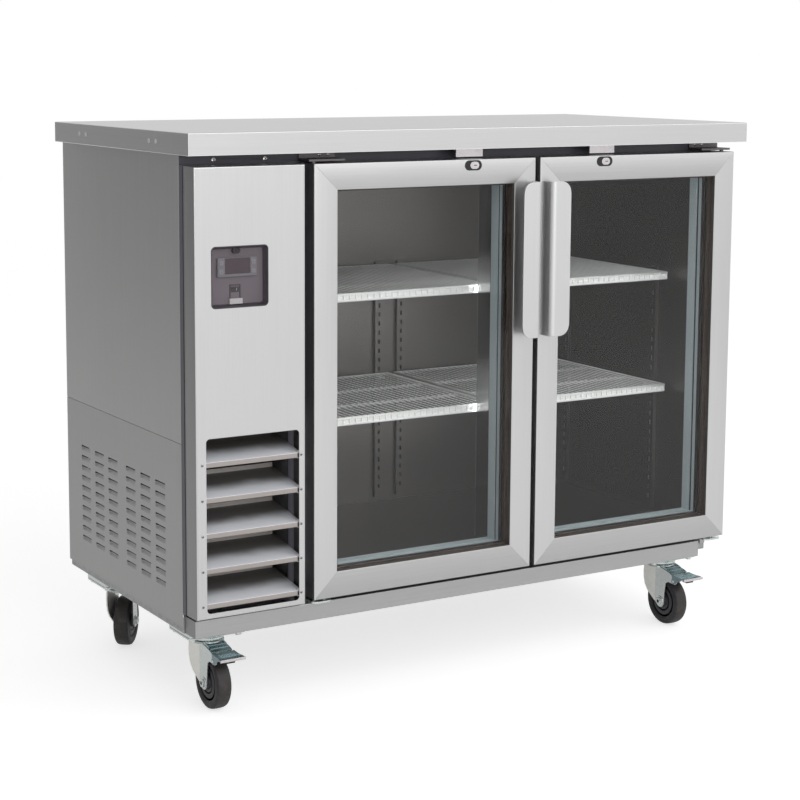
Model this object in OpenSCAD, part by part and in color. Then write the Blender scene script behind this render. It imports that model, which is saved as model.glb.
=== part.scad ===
// Two-door glass-front undercounter refrigerator on casters, with the condensing
// unit in a bay at the left. Shop coordinates are used in every module: x runs from
// the counter's left end, y from the counter's front edge towards the back, z from
// the floor. place() moves them to the part's frame, whose origin is the middle of
// the part's footprint on the floor.

/* [Overall] */
// Width of the counter
counter_w = 1245; // [1240:1:1250]
// Depth of the counter from its front edge to the back
counter_d = 620; // [616:1:640]
// Height from the floor to the counter's upper face
overall_h = 1055; // [1052:1:1060]
// Thickness of the counter at its edge
counter_t = 39; // [36:1:42]
// Overhang of the counter past each side panel
side_overhang = 16; // [14:1:18]
// Height of the base rails' underside above the floor
base_z = 155; // [150:1:156]

/* [Doors] */
// Width of each door
door_w = 481; // [478:1:482]
// Thickness of a door without its gasket
door_t = 50; // [46:1:52]
// Width of a door's frame members
stile_w = 48; // [44:1:52]
// Setback of the doors' front face from the counter's front edge
door_setback = 17; // [12:1:20]
// Gap between the two doors
door_gap = 11; // [9:1:12]
// Height of the doors' lower edge
door_z = 197; // [194:1:200]
// Gap between the doors' top edge and the counter
door_top_gap = 20; // [18:1:24]
// Distance of a hinge axis from its door's outer edge
hinge_inset = 12; // [11:1:14]
// Length of a door handle
handle_len = 297; // [200:1:400]
// Reach of a handle in front of its door
handle_reach = 34; // [28:1:40]
// Width of a handle's grip plate
handle_w = 44; // [36:1:48]

/* [Compressor bay] */
// Width of the front panel that covers the bay
panel_w = 218; // [214:1:219]
// Height of the front panel's lower edge
panel_z = 193; // [190:1:196]
// Width of the air opening
grille_w = 185; // [180:1:188]
// Height of the air opening
grille_h = 316; // [310:1:320]
// Distance between one air blade and the next
blade_pitch = 64; // [60:1:65]

/* [Cabinet] */
// Thickness of the insulated side wall
side_wall = 45; // [40:1:48]
// Thickness of the insulated back wall
back_wall = 49; // [45:1:60]
// Height of the upper shelves' top face
shelf_high_z = 741; // [700:1:745]
// Height of the lower shelves' top face
shelf_low_z = 503; // [440:1:560]

/* [Casters] */
// Diameter of a caster wheel
wheel_d = 100; // [96:1:102]
// Width of a caster tyre
wheel_w = 30; // [26:1:32]
// Distance of a wheel's axle from its swivel axis
trail = 25; // [20:1:28]
// Angle at which the rear left caster rests, from pointing straight back
rear_left_yaw = 38; // [0:1:60]
// Angle at which the rear right caster rests, from pointing straight back
rear_right_yaw = -20; // [-60:1:0]

/* [Hidden] */
$fn = 64;
eps = 0.5;
skin = 1.2;
run_fit = 0.06;

// Where the main planes lie
handle_proud = handle_reach - door_setback;
y_mid = (counter_d - handle_proud) / 2;
counter_z = overall_h - counter_t;
body_l = side_overhang;
body_r = counter_w - side_overhang;
door_back = door_setback + door_t;
gasket_t = 7.7;
face_y = door_back + 8;
face_t = 4;
side_z = base_z + 12;
side_seam_z = 502;
floor_t = 2;
deck_z = counter_z - 1.5;

// Doors, measured from the right end of the body
door_r_x0 = body_r - 2 - door_w;
door_l_x0 = door_r_x0 - door_gap - door_w;
door_top = counter_z - door_top_gap;
door_h = door_top - door_z;
glass_z0 = door_z + stile_w;
glass_z1 = door_top - stile_w;
hinge_y = door_setback + door_t / 2;
hinge_l_x = door_l_x0 + hinge_inset;
hinge_r_x = door_r_x0 + door_w - hinge_inset;
open_l = [door_l_x0 + stile_w, door_l_x0 + door_w - stile_w];
open_r = [door_r_x0 + stile_w, door_r_x0 + door_w - stile_w];

// Cold compartment
partition_x = door_l_x0 - 16;
strip_t = 3;
strip_d = 22;
strip_back = face_y + strip_d;
liner_l = partition_x + 52;
liner_r = body_r - side_wall - 1;
liner_back = counter_d - back_wall - 1;
liner_z0 = side_z + 49;
liner_z1 = deck_z - 52.5;
post_d = 43;
post_back = strip_back + 1 + post_d;
shelf_front = 150;
shelf_back = liner_back - 10;
shelf_t = 16;

// Compressor bay
panel_x = body_l + 2;
panel_y = door_setback;
panel_depth = 52;
grille_x = panel_x + 20;
grille_z = panel_z + 10;
grille_r = 4;
blade_z = grille_z + 13;
blade_count = 5;
blade_depth = 106;
blade_rise = 18;
blade_lip = 6.5;
bezel_x = 50;
bezel_z = 748;
bezel_w = 112;
bezel_h = 109;
bezel_wall = 2;
bezel_front = panel_y - 0.4;
bezel_floor = panel_y + 13;
fan_x = 129;
fan_z = 345;
coil_y = 140;
coil_d = 40;

// Controls
ctrl = [66, 802, 77, 34];
key_size = 8;
key_xs = [69, 132];
key_zs = [807, 823];
rocker_x = 102;
rocker_z = 774;
rocker_y = 33;
cover_foot = 3.6;
cover_pin_z = bezel_z + bezel_wall + cover_foot + 2.6;
cover_pin_y = panel_y + 2.6;

// Locks
lock_z = door_top - 11.5;
lock_l_x = 597;
lock_r_x = 903;
cam_y = door_setback + 34;
cam_t = 3;

// Evaporator on the left wall of the cold compartment
evap_y0 = 200;
evap_y1 = 560;
evap_z0 = 765;
evap_z1 = 955;
evap_depth = 90;
evap_fan_y = 470;
evap_fan_z = 860;

// Casters
plate_w = 114;
plate_l = 92;
plate_t = 3.5;
pad_t = 12;
plate_top = base_z - pad_t;
race_bottom = plate_top - plate_t - 12.2;
crown_top = race_bottom - 0.3;
crown_t = 3;
axle_z = wheel_d / 2;
axle_r = 6;
kingpin_r = 8;
leg_out = 20;
leg_t = 2.5;
pedal_u = 70;
pedal_z = 103;
pedal_pin_r = 3;
front_caster_y = 120;
rear_caster_y = 505;
caster_l_x = 86;
caster_r_x = 1147;
rear_l_x = 82;

module place() translate([-counter_w / 2, -y_mid, 0]) children();
module block(lo, hi) translate(lo) cube(hi - lo);
module along_x(p, r, len) translate(p) rotate([0, 90, 0]) cylinder(r = r, h = len);
module along_y(p, r, len) translate(p) rotate([-90, 0, 0]) cylinder(r = r, h = len);
module along_z(p, r, len) translate(p) cylinder(r = r, h = len);

// A rounded rectangle in the plane of x and z, extruded towards the back from y
module round_slab(x, z, w, h, r, y, depth)
    translate([x, y + depth, z]) rotate([90, 0, 0]) linear_extrude(depth) round_rect(w, h, r);

module round_rect(w, h, r) {
    translate([r, 0]) square([w - 2 * r, h]);
    translate([0, r]) square([w, h - 2 * r]);
    for (x = [r, w - r], y = [r, h - r]) translate([x, y]) circle(r);
}

// ---- Outer shell ----

rivet_ys = [133, 163, 458, 490];
rivet_z = counter_z + 20;
rivet_r = 2;
hem = 90;

module countertop() place() color("gainsboro") difference() {
    block([0, 0, counter_z], [counter_w, counter_d, overall_h]);
    block([skin, skin, counter_z + skin], [counter_w - skin, counter_d - skin, overall_h - skin]);
    block([hem, hem, counter_z - eps], [counter_w - hem, counter_d - hem, counter_z + skin + eps]);
    for (y = rivet_ys) along_x([-1, y, rivet_z], rivet_r, counter_w + 2);
}

// A side sheet with a flange turned in at its front edge
flange_w = 14;
module left_sheet(z0, z1) {
    block([body_l, face_y, z0], [body_l + skin, counter_d, z1]);
    block([body_l + skin, face_y, z0], [body_l + flange_w, face_y + skin, z1]);
}

module side_panel_upper_left() place() color("gray") left_sheet(side_seam_z + 0.6, counter_z);

louvre_cols = [[547, 501], [477, 432], [409, 365], [323, 279], [255, 211], [188, 144]];
louvre_rows = 10;
louvre_pitch = 20.4;
louvre_top_z = 417;
louvre_h = 10;
louvre_sink = 6;

module side_panel_louvred_left() place() color("gray") {
    difference() {
        left_sheet(side_z, side_seam_z);
        for (c = louvre_cols, i = [0 : louvre_rows - 1])
            block([body_l - 1, c[1], louvre_top_z - louvre_h - i * louvre_pitch],
                [body_l + 3, c[0], louvre_top_z - i * louvre_pitch]);
    }
    for (c = louvre_cols, i = [0 : louvre_rows - 1]) louvre(c, louvre_top_z - i * louvre_pitch);
}

// One louvre: a blade that leans into the bay towards its open upper edge, between two cheeks
module louvre(c, top) {
    low = top - louvre_h;
    lean = [[0, low], [skin, low], [louvre_sink + skin, top - 2], [louvre_sink, top - 2]];
    cheek = [[0, low], [louvre_sink + skin, top - 2], [louvre_sink + skin, top], [0, top]];
    translate([body_l, c[0], 0]) rotate([90, 0, 0]) linear_extrude(c[0] - c[1]) polygon(lean);
    for (y = [c[1] + skin, c[0]])
        translate([body_l, y, 0]) rotate([90, 0, 0]) linear_extrude(skin) polygon(cheek);
}

module side_panel_right() place() color("gray") {
    block([body_r - skin, face_y, side_z], [body_r, counter_d, counter_z]);
    block([body_r - flange_w, face_y, side_z], [body_r - skin, face_y + skin, counter_z]);
}

vent_rows = 9;
inlet = [150, 240, 48, 30];
module back_panel() place() color("darkgray") difference() {
    block([body_l + skin, counter_d - skin, side_z], [body_r - skin, counter_d, counter_z]);
    for (i = [0 : vent_rows - 1], x = [40, 140], z = [330, 620])
        block([x, counter_d - 5, z + i * 20], [x + 80, counter_d + 1, z + 6 + i * 20]);
    block([inlet[0], counter_d - 5, inlet[1]],
        [inlet[0] + inlet[2], counter_d + 1, inlet[1] + inlet[3]]);
}

// Welded base rails, floor, partition and deck
rail_x0 = 21;
rail_x1 = 1175;
rail_y = 32;
rail_top = 188;
module chassis() place() color("silver") {
    difference() {
        block([rail_x0, rail_y, base_z], [rail_x1, face_y, rail_top]);
        block([rail_x0 + 2, rail_y + 2, base_z + 2], [rail_x1 - 2, face_y + 1, rail_top - 2]);
        block([rail_x0 + 2, rail_y + 25, base_z - 1], [rail_x1 - 2, face_y + 1, base_z + 3]);
    }
    block([body_l + skin, face_y + skin, side_z],
        [body_r - skin, counter_d - skin, side_z + floor_t]);
    block([body_l + flange_w, face_y, deck_z], [body_r - flange_w, counter_d - skin, counter_z]);
    block([partition_x, face_y + face_t, side_z + floor_t - 0.1],
        [partition_x + skin, counter_d - skin, deck_z + 0.1]);
    for (x = [body_l + 3, body_r - 3 - channel_w]) base_channel(x);
    for (p = [front_l, front_r, rear_l, rear_r]) translate(p) caster_pad();
    difference() {
        block([body_l + 140, counter_d - 40, base_z], [body_r - 140, counter_d - 3, side_z + 0.1]);
        block([body_l, counter_d - 38, base_z - 1], [body_r, counter_d - 5, side_z - 2]);
    }
}

// A shallow box rail, open at both ends, that runs from front to back and takes two casters
channel_w = 145;
module base_channel(x) difference() {
    block([x, face_y - 0.1, base_z], [x + channel_w, counter_d - 3, side_z + 0.1]);
    block([x + 2, face_y - 3, base_z + 2], [x + channel_w - 2, counter_d, side_z - eps]);
}

// The bay's front is open from the left edge to the partition, between a sill and a header
bay_x1 = 231;
bay_z0 = 203;
bay_z1 = 975;
module face_frame() place() color("#2e2e38") difference() {
    block([body_l + flange_w, face_y, side_z + floor_t],
        [body_r - flange_w, face_y + face_t, deck_z]);
    block([body_l + flange_w - 1, face_y - 1, bay_z0], [bay_x1, face_y + face_t + 1, bay_z1]);
    for (o = [open_l, open_r])
        block([o[0] - strip_t, face_y - 1, glass_z0 - strip_t],
            [o[1] + strip_t, face_y + face_t + 1, glass_z1 + strip_t]);
    for (x = header_screw_xs) along_y([x, face_y - 1, header_screw_z], screw_r, 10);
}

module breaker_strips() place() color("#8b979b") for (o = [open_l, open_r]) difference() {
    block([o[0] - strip_t, face_y, glass_z0 - strip_t],
        [o[1] + strip_t, strip_back, glass_z1 + strip_t]);
    block([o[0], face_y - 1, glass_z0], [o[1], strip_back + 1, glass_z1]);
}

module mullion_post() place() color("silver") difference() {
    block([open_l[1], strip_back + 1, liner_z0], [open_r[0], post_back, liner_z1]);
    block([open_l[1] + skin, strip_back + 1 + skin, liner_z0 - 1],
        [open_r[0] - skin, post_back - skin, liner_z1 + 1]);
}

module insulation() place() color("khaki") difference() {
    block([partition_x + skin, face_y + face_t, side_z + floor_t],
        [body_r - skin, counter_d - skin, deck_z]);
    block([liner_l - 1, strip_back, liner_z0 - 1], [liner_r + 1, liner_back + 1, liner_z1 + 1]);
    for (o = [open_l, open_r])
        block([o[0] - strip_t, face_y, glass_z0 - strip_t],
            [o[1] + strip_t, strip_back + 1, glass_z1 + strip_t]);
}

module liner() place() color("silver") difference() {
    block([liner_l - 1, strip_back, liner_z0 - 1], [liner_r + 1, liner_back + 1, liner_z1 + 1]);
    block([liner_l, strip_back + 1, liner_z0], [liner_r, liner_back, liner_z1]);
    for (o = [open_l, open_r])
        block([o[0], strip_back - 1, glass_z0], [o[1], strip_back + 2, glass_z1]);
}

// ---- Front of the compressor bay ----

screw_r = 1.6;
screw_head_r = 2.8;
screw_xs = [panel_x + 12, panel_x + panel_w - 9];
header_screw_xs = [84, 186];
header_screw_z = counter_z - 12;
blade_x0 = panel_x + 14;
blade_x1 = panel_x + panel_w - 8;
function blade_front_z(i) = blade_z + i * blade_pitch;

module front_panel() place() color("lightgray") difference() {
    block([panel_x, panel_y, panel_z], [panel_x + panel_w, panel_y + panel_depth, door_top]);
    block([panel_x + skin, panel_y + skin, panel_z + skin],
        [panel_x + panel_w - skin, panel_y + panel_depth + 1, door_top - skin]);
    round_slab(grille_x, grille_z, grille_w, grille_h, grille_r, panel_y - 1, 4);
    round_slab(bezel_x, bezel_z, bezel_w, bezel_h, 8, panel_y - 1, 4);
    for (x = screw_xs, i = [0 : blade_count - 1])
        along_y([x, panel_y - 1, blade_front_z(i) + 1], screw_r, 4);
}

// Air blades: a front lip turned down, a plate that rises to the back, a rear lip turned up,
// and a tab at each end that is screwed to the back of the front panel
module grille_blades() place() color("silver") for (i = [0 : blade_count - 1]) {
    z = blade_front_z(i);
    y0 = panel_y + skin + 0.2;
    outline = [[0, -blade_lip / 2], [skin, -blade_lip / 2], [skin, blade_lip / 2 - skin],
        [blade_depth, blade_lip / 2 + blade_rise - skin],
        [blade_depth, blade_lip / 2 + blade_rise + 8],
        [blade_depth - skin, blade_lip / 2 + blade_rise + 8],
        [blade_depth - skin, blade_lip / 2 + blade_rise], [0, blade_lip / 2]];
    difference() {
        union() {
            translate([blade_x0, y0, z]) rotate([90, 0, 90])
                linear_extrude(blade_x1 - blade_x0) polygon(outline);
            for (x = screw_xs) block([x - 7, y0, z - 6], [x + 7, y0 + skin, z + 8]);
        }
        for (x = screw_xs) along_y([x, y0 - 1, z + 1], screw_r, 4);
    }
}

module screw(p, len) {
    along_y([p[0], p[1] - 1.3, p[2]], screw_head_r, 1.3);
    along_y(p, screw_r, len);
}

module screws_and_rivets() place() color("silver") {
    for (x = screw_xs, i = [0 : blade_count - 1])
        screw([x, panel_y, blade_front_z(i) + 1], 2.4);
    for (x = header_screw_xs) screw([x, face_y, header_screw_z], 3.5);
    for (y = rivet_ys) {
        along_x([-1.2, y, rivet_z], 4, 1.2);
        along_x([0, y, rivet_z], rivet_r, 6);
        along_x([counter_w, y, rivet_z], 4, 1.2);
        along_x([counter_w - 6, y, rivet_z], rivet_r, 6);
    }
}

// ---- Controls ----

module control_bezel() place() color("#4a444c") difference() {
    union() {
        difference() {
            round_slab(bezel_x, bezel_z, bezel_w, bezel_h, 8, bezel_front,
                bezel_floor + 2 - bezel_front);
            round_slab(bezel_x + bezel_wall, bezel_z + bezel_wall, bezel_w - 2 * bezel_wall,
                bezel_h - 2 * bezel_wall, 6, bezel_front - 1, bezel_floor + 1 - bezel_front);
        }
        for (x = [rocker_x - 12, rocker_x + 9.5])
            block([x, bezel_floor + 1.9, rocker_z - 5], [x + 2.5, bezel_floor + 12, rocker_z + 5]);
    }
    block([ctrl[0], bezel_floor - 1, ctrl[1]],
        [ctrl[0] + ctrl[2], bezel_floor + 3, ctrl[1] + ctrl[3]]);
    block([rocker_x - 9, bezel_floor - 1, rocker_z - 13],
        [rocker_x + 9, bezel_floor + 3, rocker_z + 13]);
    along_x([rocker_x - 20, rocker_y, rocker_z], 1.5 + run_fit, 40);
    along_x([bezel_x - 1, cover_pin_y, cover_pin_z], 1 + run_fit, bezel_w + 2);
}

module controller() place() color("#8d8894") difference() {
    block([ctrl[0], bezel_floor - 6, ctrl[1]],
        [ctrl[0] + ctrl[2], bezel_floor + 50, ctrl[1] + ctrl[3]]);
    for (x = key_xs, z = key_zs)
        block([x - 0.3, bezel_floor - 7, z - 0.3],
            [x + key_size + 0.3, bezel_floor - 0.5, z + key_size + 0.3]);
}

module controller_key(i, j) place() color("#b9b4be")
    block([key_xs[i], bezel_floor - 7, key_zs[j]],
        [key_xs[i] + key_size, bezel_floor - 2, key_zs[j] + key_size]);
module controller_key_1() controller_key(0, 1);
module controller_key_2() controller_key(0, 0);
module controller_key_3() controller_key(1, 1);
module controller_key_4() controller_key(1, 0);

// The rocker rests with its lower half pressed in, so its upper half stands proud
rocker_tilt = 7;
module rocker_switch() place() color("#37343b") translate([rocker_x, rocker_y, rocker_z]) {
    rotate([rocker_tilt, 0, 0]) translate([8, 0, 0]) rotate([0, -90, 0]) rotate([0, 0, 90])
        linear_extrude(16) polygon([[2, -9], [-5, -11], [-4, 0], [-5, 11], [2, 9]]);
    along_x([-11, 0, 0], 1.5, 22);
}

module control_cover() place() color("#8a8494", 0.45) {
    difference() {
        round_slab(bezel_x + bezel_wall + 0.4, bezel_z + bezel_wall + cover_foot,
            bezel_w - 2 * bezel_wall - 0.8, bezel_h - 2 * bezel_wall - cover_foot - 0.4, 5,
            cover_pin_y - 1, 2);
        along_y([rocker_x, cover_pin_y - 3, bezel_z + bezel_h - bezel_wall], 6, 6);
    }
    along_x([bezel_x, cover_pin_y, cover_pin_z], 1, bezel_w);
}

// ---- Cold compartment ----

shelf_l = [open_l[0] - 2, open_l[1] + 48];
shelf_r = [open_r[0] - 48, liner_r - 11];
wire = 3;
rod = 6;
wire_gap = 25;

// A coated wire shelf: rim rods, wires from front to back that turn down at the front,
// a lower front rod and two rods across the underside
module wire_shelf(x, top) {
    x0 = x[0];
    x1 = x[1];
    z = top - rod;
    for (y = [shelf_front, shelf_back - rod]) block([x0, y, z], [x1, y + rod, z + rod]);
    for (u = [x0, x1 - rod])
        block([u, shelf_front + 1, z], [u + rod, shelf_back - 1, z + rod]);
    block([x0, shelf_front, top - shelf_t], [x1, shelf_front + 4, top - shelf_t + 4]);
    for (y = [shelf_front + 130, shelf_front + 270])
        block([x0 + 1, y, z - 0.5], [x1 - 1, y + 5, z + 3.2]);
    n = floor((x1 - x0 - 20) / wire_gap);
    for (i = [0 : n]) {
        u = x0 + 8 + i * (x1 - x0 - 16 - wire) / n;
        block([u, shelf_front + 2, z + 3], [u + wire, shelf_back - 2, z + rod]);
        block([u, shelf_front + 0.5, top - shelf_t + 1], [u + wire, shelf_front + 3.5, z + 1]);
    }
}
module shelves_upper() place() color("white") for (x = [shelf_l, shelf_r])
    wire_shelf(x, shelf_high_z);
module shelves_lower() place() color("white") for (x = [shelf_l, shelf_r])
    wire_shelf(x, shelf_low_z);

pilaster_w = 20;
pilaster_d = 8;
pilaster_z0 = 226;
pilaster_h = 520;
slot_pitch = 20;
side_pilaster_ys = [193, 500];
post_pilaster_xs = [open_l[1] + 16, open_r[0] - 16 - pilaster_w];

// A slotted strip with its back on the wall; it stands on x and z and is as deep as y
module pilaster() rotate([90, 0, 0]) linear_extrude(pilaster_d) difference() {
    square([pilaster_w, pilaster_h]);
    for (i = [1 : pilaster_h / slot_pitch - 1])
        translate([pilaster_w / 2 - 2, i * slot_pitch]) square([4, 9]);
}

module pilasters() place() color("silver") {
    for (y = side_pilaster_ys) {
        translate([liner_l, y, pilaster_z0]) rotate([0, 0, 90]) pilaster();
        translate([liner_r, y + pilaster_w, pilaster_z0]) rotate([0, 0, -90]) pilaster();
    }
    for (x = post_pilaster_xs) {
        translate([x, post_back + pilaster_d, pilaster_z0]) pilaster();
        translate([x, liner_back, pilaster_z0]) pilaster();
    }
}

// Clips hook on the pilasters and reach under the shelves' rods
clip_h = 5;
module shelf_clips() place() color("white") for (top = [shelf_high_z, shelf_low_z]) {
    z1 = top - rod - 0.5;
    for (y = side_pilaster_ys) {
        block([liner_l + pilaster_d, y + 3, z1 - clip_h], [shelf_l[0] + 12, y + 17, z1]);
        block([shelf_r[1] - 12, y + 3, z1 - clip_h], [liner_r - pilaster_d, y + 17, z1]);
    }
    for (x = post_pilaster_xs) {
        block([x + 3, post_back + pilaster_d, top - shelf_t - clip_h],
            [x + 17, shelf_front + 14, top - shelf_t]);
        block([x + 3, shelf_back - 12, z1 - clip_h], [x + 17, liner_back - pilaster_d, z1]);
    }
}

light_w = 9;
module light_strips() place() color("white") for (x = [open_l[1] + 2, open_r[0] - 2 - light_w])
    block([x, post_back, 240], [x + light_w, post_back + 7, 940]);

// ---- Evaporator ----

module evaporator_cover() place() color("whitesmoke") {
    x1 = liner_l + evap_depth;
    difference() {
        block([liner_l, evap_y0, evap_z0], [x1, evap_y1, evap_z1]);
        block([liner_l - 1, evap_y0 + skin, evap_z0 + skin],
            [x1 - skin, evap_y1 - skin, evap_z1 - skin]);
        along_x([x1 - 5, evap_fan_y, evap_fan_z], 62, 10);
        for (i = [0 : 8])
            block([x1 - 5, evap_y0 + 20, evap_z0 + 18 + i * 18],
                [x1 + 1, evap_y0 + 180, evap_z0 + 26 + i * 18]);
    }
    along_x([liner_l, evap_fan_y, evap_fan_z], 28, 48);
}

fin_count = 18;
fin_t = 1;
module evaporator_coil() place() color("silver") {
    fin_x0 = liner_l + 6;
    for (i = [0 : fin_count - 1])
        block([fin_x0, 225 + i * 9, evap_z0 + 12], [fin_x0 + 50, 225 + i * 9 + fin_t, evap_z1 - 12]);
    for (x = [fin_x0 + 12, fin_x0 + 38], i = [0 : 4])
        along_y([x, 216, evap_z0 + 28 + i * 33], 4.5, 172);
}

// A fan wheel on the z axis: a hub and pitched flat blades
module fan_wheel(r, hub_r, hub_h, blades, pitch) {
    cylinder(r = hub_r, h = hub_h);
    for (i = [0 : blades - 1]) rotate([0, 0, i * 360 / blades]) intersection() {
        translate([hub_r - 1.5, 0, hub_h / 2]) rotate([pitch, 0, 0])
            translate([0, -r * 0.27, -0.75]) cube([r, r * 0.54, 1.5]);
        translate([0, 0, -20]) cylinder(r = r, h = hub_h + 40);
    }
}

module evaporator_fan() place() color("#3a3a3c")
    translate([liner_l + 58, evap_fan_y, evap_fan_z]) rotate([0, 90, 0]) {
        fan_wheel(56, 20, 14, 5, 24);
        translate([0, 0, -9.7]) cylinder(r = 3, h = 10);
    }

// ---- Condensing unit ----

module condenser_coil() place() color("#5a5a58") {
    fin_x0 = 40;
    for (i = [0 : 29])
        block([fin_x0 + i * 6, coil_y, 200], [fin_x0 + i * 6 + fin_t, coil_y + coil_d, 490]);
    for (i = [0 : 8], y = [coil_y + 10, coil_y + 30]) along_x([34, y, 215 + i * 32], 4, 192);
}

module fan_shroud() place() color("#6e6e70") {
    y0 = coil_y + coil_d;
    difference() {
        union() {
            block([36, y0, 196], [224, y0 + skin, 494]);
            along_y([fan_x, y0, fan_z], 92, 26);
            block([34, y0, side_z + floor_t], [226, y0 + skin, 198]);
            block([34, y0, side_z + floor_t], [226, y0 + 30, side_z + floor_t + skin]);
        }
        along_y([fan_x, y0 - 1, fan_z], 90.5, 40);
    }
    for (a = [45, 135, 225, 315]) intersection() {
        translate([fan_x, y0 + 27, fan_z]) rotate([0, a, 0]) block([20, 0, -6], [96, 3, 6]);
        along_y([fan_x, y0, fan_z], 92, 60);
    }
    for (a = [45, 135, 225, 315]) translate([fan_x, y0 + 25.9, fan_z]) rotate([0, a, 0])
        block([90.7, 0, -6], [91.9, 4, 6]);
    along_y([fan_x, y0 + 27, fan_z], 34, 55);
}

module condenser_fan() place() color("#2c2c2e")
    translate([fan_x, coil_y + coil_d + 26.6, fan_z]) rotate([90, 0, 0]) {
        fan_wheel(86, 24, 16, 5, 15);
        translate([0, 0, 16]) cylinder(r = 5, h = 3);
    }

comp_y = 400;
module compressor() place() color("#26262a") {
    translate([fan_x, comp_y, side_z + floor_t + 10]) rotate_extrude() {
        square([72, 90]);
        translate([0, 90]) square([76, 8]);
        intersection() {
            translate([0, 98]) circle(72);
            translate([0, 98]) square([72, 72]);
        }
    }
    block([fan_x - 92, comp_y - 70, side_z + floor_t + 6],
        [fan_x + 92, comp_y + 70, side_z + floor_t + 10]);
    for (x = [fan_x - 80, fan_x + 80], y = [comp_y - 55, comp_y + 55])
        along_z([x, y, side_z + floor_t], 10, 6);
    block([fan_x - 30, comp_y - 100, side_z + 45], [fan_x + 30, comp_y - 66, side_z + 95]);
}

// A bent copper tube through a list of points, with round elbows
module tube_run(pts, r) for (i = [0 : len(pts) - 2]) {
    d = pts[i + 1] - pts[i];
    h = norm(d);
    translate(pts[i]) rotate([0, acos(d[2] / h), atan2(d[1], d[0])]) cylinder(r = r, h = h);
    if (i > 0) translate(pts[i]) sphere(r);
}

module refrigerant_lines() place() color("peru") {
    tube_run([[fan_x - 50, comp_y, 340], [fan_x - 50, comp_y, 520], [60, comp_y, 520],
        [60, 250, 520], [60, 250, 470], [60, 230, 470]], 4);
    tube_run([[200, 300, 230], [200, 300, 560], [200, 480, 560], [200, 480, 800],
        [partition_x - 2, 480, 800]], 4);
    tube_run([[fan_x + 50, comp_y, 340], [fan_x + 50, comp_y, 600], [fan_x + 50, 500, 600],
        [fan_x + 50, 500, 830], [partition_x - 2, 500, 830]], 6);
    along_z([200, 300, 330], 12, 110);
}

module electrical_box() place() color("#9b9b9b") {
    block([40, 290, 640], [160, 420, 790]);
    difference() {
        block([inlet[0] + 0.5, counter_d - 36, inlet[1] + 0.5],
            [inlet[0] + inlet[2] - 0.5, counter_d, inlet[1] + inlet[3] - 0.5]);
        block([inlet[0] + 10, counter_d - 22, inlet[1] + 6],
            [inlet[0] + inlet[2] - 10, counter_d + 1, inlet[1] + inlet[3] - 6]);
    }
}

module condensate_pan() place() color("#4a4a4c") difference() {
    block([34, 500, side_z + floor_t], [226, 608, side_z + floor_t + 34]);
    block([36, 502, side_z + floor_t + 2], [224, 606, side_z + floor_t + 40]);
}

// ---- Hinges, strikes ----

hinge_pin_r = 4;
bracket_t = 4;
// Signed offsets run from a hinge axis towards its door's free edge
module hinge_pair(x, s) {
    top = door_top + 3;
    a = s > 0 ? x - 14 : x - 60;
    b = s > 0 ? x + 60 : x + 14;
    block([a, hinge_y - 10, top], [b, face_y, top + bracket_t]);
    block([a, face_y - bracket_t, top], [b, face_y, counter_z - 2]);
    along_z([x, hinge_y, door_top - 22], hinge_pin_r, 25);
    c = s > 0 ? x - 12 : x - 30;
    d = s > 0 ? x + 30 : x + 12;
    block([c, hinge_y - 17, door_z - 6], [d, face_y, door_z - 2]);
    block([c, face_y - bracket_t, rail_top], [d, face_y, door_z - 2]);
    along_z([x, hinge_y, door_z - 3], hinge_pin_r, 25);
    along_z([x, hinge_y, door_z - 2.1], 8, 1.8);
}

module hinge_brackets() place() color("#b5b8ba") {
    hinge_pair(hinge_l_x, 1);
    hinge_pair(hinge_r_x, -1);
}

// Pale keeper plates under the counter, in front of the raised lock cams
module lock_strikes() place() color("#d8d2d6") for (x = [lock_l_x + 5, lock_r_x + 10]) {
    block([x - 30, 45, door_top + 3], [x + 30, 48, counter_z]);
    block([x - 30, 47.9, counter_z - 3], [x + 30, 70, counter_z]);
}

// ---- Doors ----

glass_lap = 8;
pane_t = 4;
pane_gap = 18;
glass_y = door_setback + 5;
glass_d = 2 * pane_t + pane_gap;

// Section of a frame member: u from the door's edge inwards, v from the front face back
module member_section() difference() {
    lap = stile_w - glass_lap - 0.4;
    rebate = glass_y - door_setback - 0.2;
    seat = rebate + glass_d + 0.4;
    polygon([[0, 0], [stile_w, 0], [stile_w, rebate], [lap, rebate], [lap, seat],
        [stile_w, seat], [stile_w, door_t], [0, door_t]]);
    polygon([[1.5, 1.5], [lap - 1.5, 1.5], [lap - 1.5, seat + 1.5], [stile_w - 1.5, seat + 1.5],
        [stile_w - 1.5, door_t - 1.5], [1.5, door_t - 1.5]]);
}

// One mitred member that lies along x, its outer edge at z = 0
mitre_gap = 0.08;
module member(len) intersection() {
    rotate([90, 0, 90]) linear_extrude(len) rotate([0, 0, 90]) mirror([0, 1, 0]) member_section();
    translate([0, door_t + 1, 0]) rotate([90, 0, 0]) linear_extrude(door_t + 2)
        polygon([[mitre_gap, 0], [len - mitre_gap, 0],
            [len - stile_w - mitre_gap, stile_w], [stile_w + mitre_gap, stile_w]]);
}

module frame_ring(x0) translate([x0, door_setback, door_z]) {
    member(door_w);
    translate([0, 0, door_h]) mirror([0, 0, 1]) member(door_w);
    mirror([1, 0, 0]) rotate([0, -90, 0]) member(door_h);
    translate([door_w, 0, 0]) rotate([0, -90, 0]) member(door_h);
}

lock_w = 36;
lock_h = 19;
barrel_r = 7.5;
module stadium(w, h) {
    translate([-w / 2 + h / 2, -h / 2]) square([w - h, h]);
    for (s = [-1, 1]) translate([s * (w - h) / 2, 0]) circle(h / 2);
}

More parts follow.
